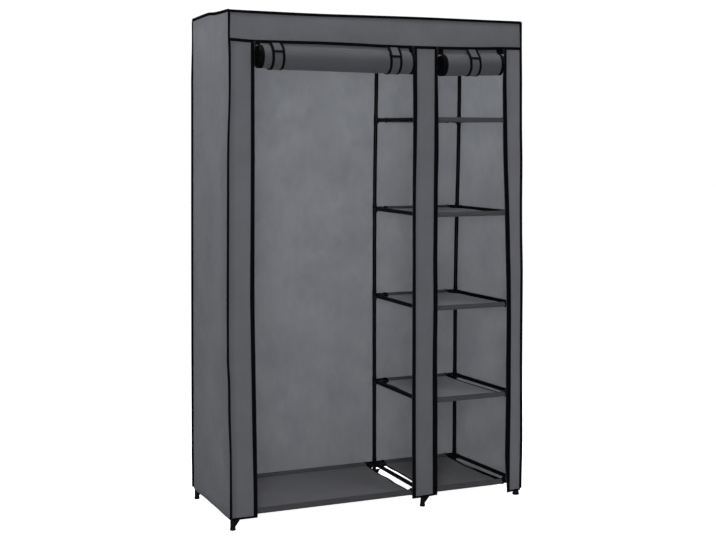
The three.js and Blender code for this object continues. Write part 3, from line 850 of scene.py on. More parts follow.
for level in range(1, 5):
    node = f"shelf_{level}"
    cross_tubes(node, LEVELS[level], 0.1789, 0.5376, 0.5196)
    left = along_rail((0.1685, 0.1685), 0.0415, (0.0006, 0.0042, 0.0006, 0.0006)[level - 1], 1)
    right = along_rail((0.548, 0.530), 0.0425 if level < 4 else 0.05, (0.035, 0.0014, 0.0014, 0.010)[level - 1], -1)
    ob = shelf(node + "_cloth", level, (0.178, 0.52), left, right, 0.0028, 11 * level, tape=(0.0165, 0.0130, 0.0082, 0.0082)[level - 1])
    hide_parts(node)
node = "base_shelf_right"
cross_tubes(node, LEVELS[0], 0.1789, 0.5376, 0.5196)
ob = shelf(node + "_cloth", 0, (0.188, 0.490), lambda y: float(curve(y, [(-0.22, 0.2035), (-0.15, 0.2010), (0.0, 0.2005), (0.15, 0.2005), (0.22, 0.2030)])),
           lambda y: float(curve(y, [(-0.22, 0.4945), (-0.16, 0.4930), (-0.1, 0.4922), (-0.03, 0.4932), (0.05, 0.4878), (0.14, 0.4905), (0.19, 0.4945), (0.22, 0.488)])),
           0.0022, 71, 0.0022, M_BASE_SHELF_PAINTED_LIGHT)
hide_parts(node)
node = "base_shelf_left"
cross_tubes(node, LEVELS[0], -0.5376, 0.1581, 0.1581)
ob = shelf(node + "_cloth", 0, (-0.506, 0.117), lambda y: -0.506, lambda y: float(curve(y, [(-0.22, 0.1205), (-0.15, 0.1215), (0.0, 0.1272), (0.15, 0.1322), (0.22, 0.1345)], 0.2)), 0.0035, 83, 0.0014, M_BASE_SHELF_PAINTED_LIGHT)
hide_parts(node)


# ------------------------------------------------------------ cover: shapes
# The middle lines of the bound seams. The cloth ends in them.
FRONT_C, BACK_C = -0.2188, 0.2183


def header_low(x):
    """Height of the middle of the tape along the header's lower edge."""
    return curve(x, [(-0.57, 1.6489), (-0.534, 1.6481), (-0.52, 1.6467), (-0.503, 1.6451), (-0.47, 1.6445), (-0.40, 1.6449), (-0.307, 1.6457),
                     (-0.234, 1.6463), (-0.159, 1.6455), (-0.084, 1.6447), (-0.008, 1.6428), (0.069, 1.6424), (0.148, 1.6424), (0.227, 1.6426),
                     (0.308, 1.6436), (0.39, 1.6456), (0.45, 1.6478), (0.514, 1.6496), (0.57, 1.6494)], 0.012)


def front_top(x):
    """Height of the middle of the seam between the header and the top."""
    return curve(x, [(-0.57, 1.7438), (-0.5, 1.7428), (-0.41, 1.7418), (-0.30, 1.7412), (-0.2, 1.7413), (-0.1, 1.7427), (0.0, 1.744),
                     (0.1, 1.745), (0.2, 1.7453), (0.4, 1.745), (0.57, 1.7452)], 0.02)


def left_edge(z):
    """x of the seam down the front left edge."""
    return curve(z, [(0.0, -0.5572), (0.1, -0.5572), (0.24, -0.5575), (0.31, -0.5592), (0.38, -0.5617), (0.45, -0.562), (0.51, -0.5626), (0.565, -0.5664),
                     (0.7, -0.5663), (0.85, -0.5657), (0.98, -0.5647), (1.11, -0.564), (1.25, -0.563), (1.32, -0.562), (1.38, -0.5598), (1.45, -0.557),
                     (1.52, -0.5564), (1.6, -0.5563), (1.625, -0.5568), (1.645, -0.5588), (1.68, -0.5586), (1.75, -0.5582)], 0.015)


def right_edge(z):
    return curve(z, [(0.0, 0.5655), (0.05, 0.566), (0.12, 0.5675), (0.2, 0.5692), (0.36, 0.568), (0.5, 0.5668), (0.65, 0.5666), (0.8, 0.5675), (0.87, 0.567),
                     (0.95, 0.5646), (1.1, 0.5632), (1.24, 0.5638), (1.32, 0.562), (1.46, 0.561), (1.54, 0.5612), (1.61, 0.5598), (1.7, 0.5590), (1.75, 0.5590)], 0.02)


def rear_left(z):
    return curve(z, [(0.0, -0.5545), (0.06, -0.556), (0.14, -0.5592), (0.3, -0.559), (0.5, -0.5585), (0.8, -0.5577), (1.1, -0.5565), (1.4, -0.555),
                     (1.55, -0.554), (1.65, -0.5538), (1.75, -0.5535)], 0.02)


def rear_right(z):
    z = np.asarray(z, float)
    return 0.5402 + rear_right_lean(z) + 0.0005 * vnoise(z * 5, 0.4, 38)


# The cloth itself keeps clear of the connectors under it.
cloth_left = lambda z: np.minimum(left_edge(z), -0.5574)
cloth_rear_left = lambda z: np.minimum(rear_left(z), -0.5574 + curve(z, [(0.0, -0.001), (0.3, -0.001), (0.9, 0.0), (1.1, 0.0008), (1.3, 0.0018), (1.55, 0.003), (1.75, 0.0035)], 0.05))
cloth_right = lambda z: np.maximum(right_edge(z), 0.5574)
CLOTH_FRONT, CLOTH_BACK = -0.2191, 0.2190


def left_roof(y):
    """Height of the seam along the left top edge: it peaks over the end of the hanging rail."""
    return curve(y, [(-0.23, 1.7445), (-0.18, 1.7455), (-0.14, 1.7456), (-0.094, 1.7465), (-0.055, 1.7480), (-0.03, 1.7497), (-0.004, 1.7522),
                     (0.02, 1.7532), (0.045, 1.7530), (0.118, 1.7518), (0.193, 1.7500), (0.23, 1.7490)], 0.006)


def frame_top(x, y):
    """Height at which the top sheet rests on a tube or a connector."""
    x, y = np.broadcast_arrays(np.asarray(x, float), np.asarray(y, float))
    best = np.full(x.shape, 1.0)
    t = np.clip((y + POST_Y) / (2 * POST_Y), 0, 1)
    for side in POSTS:
        px = POSTS[side][0] * (1 - t) + POSTS[side][1] * t
        near = np.minimum(np.abs(y + POST_Y), np.abs(y - POST_Y)) < 0.036
        if side != "right":
            near = near | (np.abs(y) < 0.019)
        r = np.where(near, 0.0088, TUBE)
        best = np.maximum(best, TOP_Z + r - (x - px) ** 2 / (2 * r))
        for py in (-POST_Y, POST_Y, 0.0):
            r = np.where(np.abs(x - px) < 0.036, 0.0088, TUBE)
            best = np.maximum(best, np.where((py != 0) | (x < 0.17), TOP_Z + r - (y - py) ** 2 / (2 * r), 1.0))
    return best + 0.0012


def roof(x, y):
    """Height of the top sheet: it hangs a little between the tubes under it."""
    x, y = np.broadcast_arrays(np.asarray(x, float), np.asarray(y, float))
    v = np.abs(y) / 0.22
    over_rail = 0.0035 * np.sin(np.pi * np.clip(v, 0, 1)) ** 2 - 0.0015 * np.clip(1 - v * 4, 0, 1)
    free = 0.0078 * np.clip(1 - v**2, 0, 1)
    w = ease((x - 0.150) / 0.10)
    dip = over_rail * (1 - w) + free * w
    # the connectors and tubes of the depth rails carry it at the sides and in the middle
    for c in (0.1685, 0.5415):
        dip = dip * (1 - 0.9 * np.exp(-((x - c) / 0.030) ** 2))
    edge = ease((0.22 - np.abs(y)) / 0.03)
    h = 1.7476 - dip + 0.0007 * fbm(x * 9, y * 9, 51, 3) * edge
    left = np.exp(-((x - LEFT) / 0.035) ** 2)
    h = h * (1 - left) + left_roof(y) * left
    front = np.exp(-((y - FRONT) / 0.018) ** 2)
    back = np.exp(-((y - BACK) / 0.018) ** 2)
    h = h * (1 - front - back) + front_top(x) * front + (1.7462 + 0.0006 * vnoise(x * 8, 0.5, 91)) * back
    k = 0.0004
    return h + k * np.log1p(np.exp(np.clip((frame_top(x, y) - h) / k, -30, 30)))


# The black bands beside the openings: a is the edge at the opening, b the other one.
ZIP = {
    "main_left": {
        "sign": 1, "low": 0.0415,
        "a": [(0.04, -0.4628), (0.10, -0.4635), (0.166, -0.4640), (0.234, -0.4648), (0.30, -0.4660), (0.37, -0.4668), (0.44, -0.4677), (0.507, -0.4688),
              (0.575, -0.4695), (0.64, -0.4708), (0.71, -0.4716), (0.778, -0.4721), (0.845, -0.4719), (0.98, -0.4712), (1.11, -0.4708), (1.25, -0.4698),
              (1.38, -0.4699), (1.52, -0.4699), (1.65, -0.4697)],
        "b": [(0.04, -0.4775), (0.10, -0.4775), (0.166, -0.4783), (0.234, -0.4795), (0.30, -0.4808), (0.37, -0.4822), (0.44, -0.483), (0.507, -0.4836),
              (0.575, -0.4852), (0.64, -0.486), (0.71, -0.4868), (0.778, -0.4882), (0.845, -0.4876), (0.98, -0.4861), (1.11, -0.485), (1.25, -0.4838),
              (1.38, -0.4834), (1.52, -0.483), (1.65, -0.4828)]},
    "main_right": {
        "sign": -1, "low": 0.0375,
        "a": [(0.03, 0.1200), (0.1, 0.1192), (0.175, 0.1183), (0.246, 0.1183), (0.32, 0.1182), (0.39, 0.1178), (0.46, 0.1184), (0.6, 0.1190), (0.75, 0.1189),
              (0.89, 0.1200), (1.03, 0.1192), (1.17, 0.1197), (1.245, 0.1203), (1.315, 0.1209), (1.456, 0.1209), (1.53, 0.1198), (1.65, 0.1195)],
        "b": [(0.03, 0.1345), (0.1, 0.1340), (0.175, 0.1334), (0.32, 0.133), (0.46, 0.1327), (0.6, 0.1328), (0.75, 0.1323), (0.89, 0.1319), (1.03, 0.1318),
              (1.17, 0.1324), (1.245, 0.1344), (1.315, 0.136), (1.456, 0.1373), (1.53, 0.1363), (1.65, 0.1355)]},
    "side_left": {
        "sign": 1, "low": 0.0385,
        "a": [(0.03, 0.2205), (0.1, 0.2208), (0.166, 0.2209), (0.24, 0.2203), (0.31, 0.2207), (0.456, 0.2190), (0.53, 0.2183), (0.6, 0.2183), (0.67, 0.2199),
              (0.743, 0.2204), (0.815, 0.2196), (0.887, 0.2180), (0.96, 0.2192), (1.03, 0.2197), (1.17, 0.2200), (1.244, 0.2224), (1.315, 0.2229),
              (1.46, 0.2206), (1.53, 0.2186), (1.65, 0.2170)],
        "b": [(0.03, 0.2022), (0.1, 0.2015), (0.166, 0.2014), (0.24, 0.2006), (0.31, 0.2010), (0.456, 0.1998), (0.6, 0.2008), (0.67, 0.2022), (0.743, 0.2034),
              (0.815, 0.2018), (0.887, 0.2012), (0.96, 0.2025), (1.03, 0.2029), (1.17, 0.2035), (1.244, 0.2045), (1.315, 0.2053), (1.46, 0.2055), (1.65, 0.2057)]},
    "side_right": {
        "sign": -1, "low": 0.0185,
        "a": [(0.0, 0.5095), (0.02, 0.5095), (0.06, 0.5060), (0.10, 0.5015), (0.136, 0.4995), (0.21, 0.5003), (0.285, 0.5020), (0.36, 0.5026), (0.433, 0.5027),
              (0.507, 0.5028), (0.58, 0.5038), (0.655, 0.5044), (0.73, 0.5037), (0.8, 0.5024), (0.876, 0.5001), (0.95, 0.4980), (1.023, 0.4960),
              (1.096, 0.4942), (1.17, 0.4906), (1.243, 0.4882), (1.316, 0.4861), (1.388, 0.4857), (1.46, 0.4841), (1.54, 0.4838), (1.575, 0.4870),
              (1.60, 0.4900), (1.622, 0.4885), (1.638, 0.4850), (1.66, 0.4840)],
        "b": [(0.0, 0.5200), (0.06, 0.5200), (0.136, 0.5205), (0.21, 0.5212), (0.285, 0.5222), (0.36, 0.5230), (0.433, 0.5230), (0.507, 0.5226),
              (0.58, 0.5232), (0.655, 0.5230), (0.8, 0.5216), (0.876, 0.5188), (0.95, 0.5167), (1.023, 0.5150), (1.096, 0.5124), (1.17, 0.5088),
              (1.243, 0.5063), (1.316, 0.5040), (1.388, 0.5030), (1.46, 0.5008), (1.54, 0.4992), (1.65, 0.4990)]},
}
zip_a = {k: (lambda z, q=d["a"]: curve(z, q, 0.02)) for k, d in ZIP.items()}
zip_b = {k: (lambda z, q=d["b"]: curve(z, q, 0.03)) for k, d in ZIP.items()}
LSTILE, MSTILE_L, MSTILE_R, RSTILE = zip_a["main_left"], zip_a["main_right"], zip_a["side_left"], zip_a["side_right"]


def wrinkle(u, z, seed, amp=0.0016):
    """Soft undulation, a few slanting creases and small crumples."""
    folds = amp * fbm(u * 4.2 + 0.4 * vnoise(u * 2, z * 1.4, seed), z * 1.9, seed + 1, 3)
    slant = 0.35 * amp * vnoise((u + 0.55 * z) * 8, (z - 0.4 * u) * 3.2, seed + 2)
    crumple = 0.30 * amp * fbm(u * 21, z * 17, seed + 3, 3)
    return folds + slant + crumple


def vertical_panel(name, node, across, low, high, base, normal, mats, seed, amp, step=0.011, pick=None,
                   back_add=0, bow=0.0, hem_flare=0.0, edge=0.02):
    """A panel from the hem to its top. across: position 0..1; low(s), high(s): z of
    the hem and the top; base(s, z): point on the plane; normal: out of the cover."""
    width = float(np.linalg.norm(np.asarray(base(1.0, 0.9)) - np.asarray(base(0.0, 0.9))))
    height = float(high(0.5) - low(0.5))
    n, m = max(6, int(width / step)), max(6, int(height / (step * 1.15)))
    s = np.linspace(0, 1, n) if across is None else across
    n = len(s)
    S, T = np.meshgrid(s, np.linspace(0, 1, m), indexing="ij")
    lo, hi = low(S), high(S)
    Z = lo + (hi - lo) * T
    P = base(S, Z)
    u = S * width
    inside = ease(u / edge) * ease((width - u) / edge) * ease((hi - Z) / 0.03)
    off = wrinkle(u, Z, seed, amp) * inside
    off += bow * np.sin(np.pi * np.clip(u / width, 0, 1)) * ease((hi - Z) / 0.25)
    off += hem_flare * ease((lo + 0.22 - Z) / 0.22) * vnoise(u * 9, 0.2, seed + 7) * ease(u / edge) * ease((width - u) / edge)
    # the frame under the cloth: it can't sink in there
    room = np.ones(P.shape[:2])
    flat_x = abs(normal[0]) > 0.5
    for c in ((-POST_Y, POST_Y) if flat_x else (-0.548, 0.1685, 0.548 if normal[1] < 0 else 0.530)):
        room = room * (1 - np.exp(-((P[..., 1 if flat_x else 0] - c) / 0.022) ** 2))
    for z in LEVELS + [TOP_Z]:
        room = room * (1 - np.exp(-((Z - z) / 0.024) ** 2))
    off = np.where(off < 0, off * room, off)
    P = P + off[..., None] * np.asarray(normal, float)
    UV = np.stack([u, Z], -1)
    ob = shell(name, P, UV, mats, pick=pick, back_add=back_add)
    if node:
        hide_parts(node)
    return ob, P


def base_xy(a, b):
    """A plane through two vertical edges a(z), b(z) that give (x, y)."""
    def f(S, Z):
        S, Z = np.broadcast_arrays(np.asarray(S, float), np.asarray(Z, float))
        ax, ay = a(Z)
        bx, by = b(Z)
        return np.stack([ax * (1 - S) + bx * S, ay * (1 - S) + by * S, Z], -1)
    return f


full = lambda z, v: np.full(np.shape(z), v)
HEM_SIDE = lambda y: curve(y, [(-0.23, 0.0375), (-0.19, 0.0362), (-0.14, 0.0360), (-0.095, 0.0371), (-0.05, 0.0379), (0.0, 0.0373), (0.046, 0.0380),
                               (0.094, 0.0371), (0.144, 0.0352), (0.2, 0.0375), (0.23, 0.041)], 0.01)
HEM_BACK = lambda x: 0.0405 + 0.0012 * vnoise(np.asarray(x) * 8, 0.3, 77)

# --- bindings first
def piping(name, path, out, a=0.0045, b=0.0031, mat=M_BIND):
    """A bound seam along an edge: a folded tape, rounded, that points outwards."""
    path = np.asarray(path, float)
    out = unit(np.asarray(out, float))
    along = unit(np.gradient(path, axis=0))
    A = unit(out - along * np.sum(along * out, -1, keepdims=True))
    B = np.cross(along, A)
    s = lengths(path)
    lean = 0.35 * vnoise(s * 5, 0.3, len(name))[:, None]
    A, B = unit(A + lean * B), unit(B - lean * A)
    prof = oval(a, b, 14)
    prof[:, 1] *= 1 - 0.25 * np.clip(prof[:, 0] / a, 0, 1)
    return sweep(name, path, A, B, prof, mat)


zz = np.linspace(0.0405, 1.7462, 150)
ff = lambda z: full(z, FRONT_C)
bb = lambda z: full(z, BACK_C)
lf = piping("binding_edge_front_left", np.column_stack([left_edge(zz), ff(zz), zz]), (-1, -0.35, 0))
zb = np.linspace(0.0440, 1.7455, 130)
lb = piping("binding_edge_back_left", np.column_stack([cloth_rear_left(zb) - 0.0014 + 0.0030 * ease((zb - 1.52) / 0.16), bb(zb) - 0.001, zb]), (-1, 0.35, 0), 0.0060, 0.0040)
zr = np.linspace(0.0250, 1.7465, 150)
rf = piping("binding_edge_front_right", np.column_stack([right_edge(zr), ff(zr), zr]), (1, -0.35, 0), 0.0056, 0.0044)
zq = np.linspace(0.0340, 1.7455, 130)
rb = piping("binding_edge_back_right", np.column_stack([rear_right(zq), bb(zq), zq]), (1, 1, 0), 0.0036, 0.0026)
xx = np.linspace(float(left_edge(1.744)), float(right_edge(1.745)), 150)
tf = piping("binding_edge_top_front", np.column_stack([xx, ff(xx), front_top(xx)]), (0, -0.45, 1), 0.0052, 0.0042)
xt = np.linspace(float(rear_left(1.745)), float(rear_right(1.745)), 140)
tb = piping("binding_edge_top_back", np.column_stack([xt, bb(xt), 1.7462 + 0.0006 * vnoise(xt * 8, 0.5, 91)]), (0, 1, 1), 0.0037, 0.0027)
yy = np.linspace(FRONT_C, BACK_C, 70)
top_lx = lambda y: float(left_edge(1.744)) + (float(rear_left(1.745)) - float(left_edge(1.744))) * (np.asarray(y) - FRONT_C) / (BACK_C - FRONT_C)
top_rx = lambda y: float(right_edge(1.745)) + (float(rear_right(1.745)) - float(right_edge(1.745))) * (np.asarray(y) - FRONT_C) / (BACK_C - FRONT_C)
tl = piping("binding_edge_top_left", np.column_stack([top_lx(yy), yy, left_roof(yy)]), (-0.7, 0, 1), 0.0060, 0.0042)
tr = piping("binding_edge_top_right", np.column_stack([top_rx(yy), yy, roof(0.5585, yy)]), (1, 0, 1), 0.0036, 0.0027)


def hem(name, path, normal, w=0.0072, t=0.0019):
    """Tape folded round a hanging edge: its middle lies a little above the edge."""
    path = np.asarray(path, float).copy()
    along = unit(np.gradient(path, axis=0))
    up = unit(np.array([0, 0, 1.0]) - along * along[:, 2:])
    path += up * (w / 2 - 0.0012)
    return sweep(name, path, up, np.cross(along, up), tape_profile(w, t), M_BIND)


side_lx = lambda y, z: left_edge(z) + (rear_left(z) - left_edge(z)) * (np.asarray(y) - FRONT_C) / (BACK_C - FRONT_C)
side_rx = lambda y, z: right_edge(z) + (rear_right(z) - right_edge(z)) * (np.asarray(y) - FRONT_C) / (BACK_C - FRONT_C)
HEM_RSIDE = lambda y: 0.0262 + 0.0012 * vnoise(np.asarray(y) * 9, 0.3, 95)
ys = np.linspace(FRONT_C + 0.001, BACK_C - 0.001, 60)
hem_left = hem("hem_left_side", np.column_stack([side_lx(ys, full(ys, 0.04)), ys, HEM_SIDE(ys)]), (-1, 0, 0))
hem_right = hem("hem_right_side", np.column_stack([side_rx(ys, full(ys, 0.03)), ys, HEM_RSIDE(ys)]), (1, 0, 0))
xs = np.linspace(float(rear_left(0.04)) + 0.001, float(rear_right(0.04)) - 0.001, 130)
hem_back = hem("hem_back", np.column_stack([xs, bb(xs), HEM_BACK(xs)]), (0, 1, 0))
xl = np.linspace(float(left_edge(0.04)) + 0.0015, float(LSTILE(0.04)) - 0.0006, 18)
hem_l = lambda x: curve(x, [(-0.57, 0.0366), (-0.54, 0.0372), (-0.51, 0.0368), (-0.466, 0.0366)], 0.006)
hem_lstile = hem("hem_left_stile", np.column_stack([xl, full(xl, FRONT_C - 0.0006), hem_l(xl)]), (0, -1, 0))
xm = np.linspace(float(MSTILE_L(0.04)) + 0.0006, float(MSTILE_R(0.04)) - 0.0006, 16)
hem_m = lambda x: curve(x, [(0.11, 0.0352), (0.14, 0.0350), (0.19, 0.0366), (0.22, 0.0386)], 0.006)
hem_mstile = hem("hem_middle_stile", np.column_stack([xm, full(xm, FRONT_C - 0.0006), hem_m(xm)]), (0, -1, 0))
xr_ = np.linspace(float(RSTILE(0.02)) + 0.0004, float(right_edge(0.02)) - 0.0015, 12)
hem_r = lambda x: curve(x, [(0.505, 0.0142), (0.53, 0.0158), (0.56, 0.0180), (0.575, 0.0188)], 0.006)
hem_rstile = hem("hem_right_stile", np.column_stack([xr_, full(xr_, FRONT_C - 0.0006), hem_r(xr_)]), (0, -1, 0))
xh = np.linspace(float(left_edge(1.648)) + 0.0005, float(right_edge(1.648)) - 0.0005, 170)
hem_header = hem("binding_header_low", np.column_stack([xh, full(xh, CLOTH_FRONT - 0.0022) - 0.0004 * vnoise(xh * 9, 0.3, 33), header_low(xh) - 0.0038]), (0, -1, 0), 0.0104, 0.0023)

# --- panels
back, _ = vertical_panel("cover_back_cloth", "cover_back", None, lambda s: HEM_BACK(LEFT + 0.005 + s * 1.093), lambda s: full(s, 1.7455),
                         base_xy(lambda z: (cloth_rear_left(z), full(z, CLOTH_BACK)), lambda z: (rear_right(z), full(z, CLOTH_BACK))),
                         (0, 1, 0), [M_IN, M_OUT], 101, 0.0026, 0.011, back_add=1, bow=0.001, hem_flare=0.002)
side_l, _ = vertical_panel("cover_left_side_cloth", "cover_left_side", None, lambda s: HEM_SIDE(BACK_C - s * 0.437), lambda s: left_roof(BACK_C - s * 0.437),
                           base_xy(lambda z: (cloth_rear_left(z), full(z, CLOTH_BACK)), lambda z: (cloth_left(z), full(z, CLOTH_FRONT))),
                           (-1, 0, 0), [M_SIDE_PAINTED_LIGHT, M_IN], 121, 0.0019, 0.011, back_add=1, bow=-0.0005, hem_flare=0.002)
side_r, _ = vertical_panel("cover_right_side_cloth", "cover_right_side", None, lambda s: HEM_RSIDE(FRONT_C + s * 0.437),
                           lambda s: roof(0.5585, FRONT_C + s * 0.437),
                           base_xy(lambda z: (cloth_right(z), full(z, CLOTH_FRONT)), lambda z: (rear_right(z), full(z, CLOTH_BACK))),
                           (1, 0, 0), [M_SIDE_PAINTED_LIGHT, M_IN], 141, 0.0022, 0.011, back_add=1, bow=0.0005, hem_flare=0.002)

# the top sheet
def with_more(n, span, spots):
    """n even steps from 0 to 1, with closer ones round the spots (in metres of span)."""
    q = [0.0, 1.0] + [float(v) for c in spots for v in np.clip((c + np.arange(-0.0108, 0.0109, 0.0027)) / span, 0, 1)]
    q += [float(v) for v in np.linspace(0, 1, n)]
    out = []
    for v in sorted(q):
        if not out or v - out[-1] > 0.0016 / span:
            out.append(v)
    out[-1] = 1.0
    return np.array(out)


S, T = np.meshgrid(with_more(104, 1.118, [0.0098, 0.7275, 0.7330, 1.1082]), with_more(44, BACK_C - FRONT_C, [0.0098, 0.2188, 0.4273]), indexing="ij")
Yg = FRONT_C + (BACK_C - FRONT_C) * T
Xg = top_lx(Yg) + S * (top_rx(Yg) - top_lx(Yg))
top = shell("cover_top_cloth", np.stack([Xg, Yg, roof(Xg, Yg)], -1), np.stack([Xg, Yg], -1), [M_OUT, M_IN], back_add=1)
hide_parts("cover_top")

# the header
nx, nz = 130, 18
S, T = np.meshgrid(np.linspace(0, 1, nx), np.linspace(0, 1, nz), indexing="ij")
lo_x = LEFT + S * 1.118
lowz, highz = header_low(lo_x) - 0.0002, front_top(lo_x)
Zh = lowz + (highz - lowz) * T
Xh = cloth_left(Zh) * (1 - S) + cloth_right(Zh) * S
belly = 0.0024 * np.sin(np.pi * T) * (0.7 + 0.5 * vnoise(Xh * 5, 0.2, 202))
folds = 0.0006 * fbm(Xh * 26, Zh * 9, 203, 3) * np.sin(np.pi * np.clip(T * 0.9 + 0.08, 0, 1))
tuck = 0.0030 * ease((T - 0.80) / 0.20)
inner = ease(S * 1.118 / 0.03) * ease((1 - S) * 1.118 / 0.03)
Yh = CLOTH_FRONT - 0.0014 * (1 - ease((T - 0.1) / 0.9)) - np.maximum(belly + folds, 0) * inner + tuck * 0.2
header = shell("cover_header_cloth", np.stack([Xh, Yh, Zh], -1), np.stack([Xh, Zh], -1), [M_HEADER_PAINTED_SHADE, M_LINING], back_add=1)
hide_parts("cover_header")


def stile(name, node, left_x, right_x, low, seed, mat=M_STILE_PAINTED_SHADE):
    return vertical_panel(name, node, None, low, lambda s: header_low(0.5 * (left_x(1.64) + right_x(1.64))) + full(s, 0.006),
                          base_xy(lambda z: (left_x(z), full(z, CLOTH_FRONT)), lambda z: (right_x(z), full(z, CLOTH_FRONT))),
                          (0, -1, 0), [mat, M_LINING], seed, 0.0009, 0.0058, back_add=1, edge=0.012, bow=-0.0012, hem_flare=0.0012)


lst, _ = stile("cover_stile_left_cloth", "cover_stile_left", cloth_left, LSTILE, lambda s: hem_l(LEFT + s * 0.093), 221)
mst, _ = stile("cover_stile_middle_cloth", "cover_stile_middle", MSTILE_L, MSTILE_R, lambda s: hem_m(0.122 + s * 0.095), 231)
rst, _ = stile("cover_stile_right_cloth", "cover_stile_right", RSTILE, cloth_right, lambda s: hem_r(0.5097 + s * 0.058), 241, mat=M_STILE_RIGHT_PAINTED_LIGHT_AND_SHADE)


# ------------------------------------------------------------ zips on the stiles
def teeth(points, out, along, side, pitch=0.002):
    """A coil's loops along a path: small rounded blocks. side: towards the other half."""
    s = lengths(points)
    verts, faces, n = [], [], 0
    base = np.array([(-0.5, -0.5), (0.5, -0.5), (0.62, 0.0), (0.5, 0.5), (-0.5, 0.5), (-0.62, 0.0)])
    k = int(s[-1] / pitch)
    at = (np.arange(k) + 0.5) * pitch
    C = np.stack([np.interp(at, s, points[:, j]) for j in range(3)], 1)
    O = unit(np.stack([np.interp(at, s, out[:, j]) for j in range(3)], 1))
    D = unit(np.stack([np.interp(at, s, along[:, j]) for j in range(3)], 1))
    Sd = unit(np.stack([np.interp(at, s, side[:, j]) for j in range(3)], 1))
    V = []
    for w0, w1 in ((-0.0011, 0.9), (0.0014, 0.72)):
        for a, b in base:
            V.append(C + Sd * w0 + O * (b * 0.0013 * w1) + D * (a * 0.00115 * w1))
    V = np.stack(V, 1).reshape(-1, 3)
    F = []
    for i in range(k):
        o = 12 * i
        F.append([o + j for j in range(6)][::-1])
        F.append([o + 6 + j for j in range(6)])
        for j in range(6):
            F.append([o + j, o + (j + 1) % 6, o + 6 + (j + 1) % 6, o + 6 + j])
    return V, F


def stile_zip(name):
    """The tape on a stile's edge, and half of the zip's coil on it."""
    d = ZIP[name]
    sign = d["sign"]
    z = np.linspace(d["low"], float(header_low(zip_a[name](np.array(1.64)))) - 0.0012, 150)
    e, i = zip_a[name](z) - sign * 0.0016, zip_b[name](z)
    S, Z = np.meshgrid(np.linspace(0, 1, 6), z, indexing="ij")
    X = i[None] * (1 - S) + e[None] * S
    Y = np.full(X.shape, CLOTH_FRONT - 0.0012) - 0.0005 * np.sin(np.pi * S) - 0.0003 * vnoise(Z * 30, 0.4, 7)
    P = np.stack([X, Y, Z], -1)
    UV = np.stack([Z, np.abs(X - i[None])], -1)
    if sign < 0:
        P, UV = P[::-1].copy(), UV[::-1].copy()
    tape = shell(f"zip_tape_{name}", P, UV, [M_ZIP], t=0.0008)
    path = np.column_stack([e + sign * 0.0004, full(z, CLOTH_FRONT - 0.0019), z])
    k = len(path)
    v, f = teeth(path, np.tile([0, -1.0, 0], (k, 1)), np.tile([0, 0, 1.0], (k, 1)), np.tile([float(sign), 0, 0], (k, 1)))
    coil = make(f"zip_coil_{name}", v, f, M_TEETH, outward=True, flat=True)


stile_zip("main_left")
stile_zip("main_right")
stile_zip("side_left")
stile_zip("side_right")


# ------------------------------------------------------------ rolled doors
DOORS = {
    "main_door": {"x": (-0.4603, 0.1125), "r": 0.0401, "z": 1.590, "pitch": 0.0032, "straps": (-0.3984, 0.0357), "joint": "main_door_unroll"},
    "side_door": {"x": (0.2285, 0.4685), "r": 0.0388, "z": 1.584, "pitch": 0.0030, "straps": (0.3512,), "joint": "side_door_unroll"},
}


def roll_shape(d, seed):
    """Scale of the roll's radius and its centre's height, along x and round the angle."""
    x0, x1 = d["x"]

    def f(theta, x):
        near = np.zeros(np.shape(x))
        for s in d["straps"]:
            near = np.maximum(near, np.exp(-((np.asarray(x) - s) / 0.034) ** 4))
        a = vnoise(np.asarray(x) * 9, 0.3, seed) * 0.011
        b = vnoise(np.asarray(x) * 14, 0.6, seed + 1) * 0.008
        ripple = 0.007 * vnoise(np.asarray(x) * 75 + 0.8 * np.sin(theta), 0.4, seed + 2) * (0.35 + 0.65 * ease((np.asarray(x) - x0) / (x1 - x0)))
        k = 1 + (a * np.sin(2 * theta + 1.1) + b * np.sin(3 * theta + 4 * np.asarray(x)) + ripple) * (1 - 0.85 * near)
        k = k * (1 - 0.020 * near) * (1 - 0.012 * ease((x0 + 0.05 - np.asarray(x)) / 0.05))
        return k

    if x0 < 0:
        drop = lambda x: 0.0022 * (1 - ease((np.asarray(x) - x0) / 0.08)) + 0.0012 - 0.0058 * np.clip((np.asarray(x) + 0.42) / 0.5, 0, 1.1)
    else:
        drop = lambda x: -0.0042 + 0.0085 * np.clip((np.asarray(x) - x0) / (x1 - x0), 0, 1)
    return f, drop


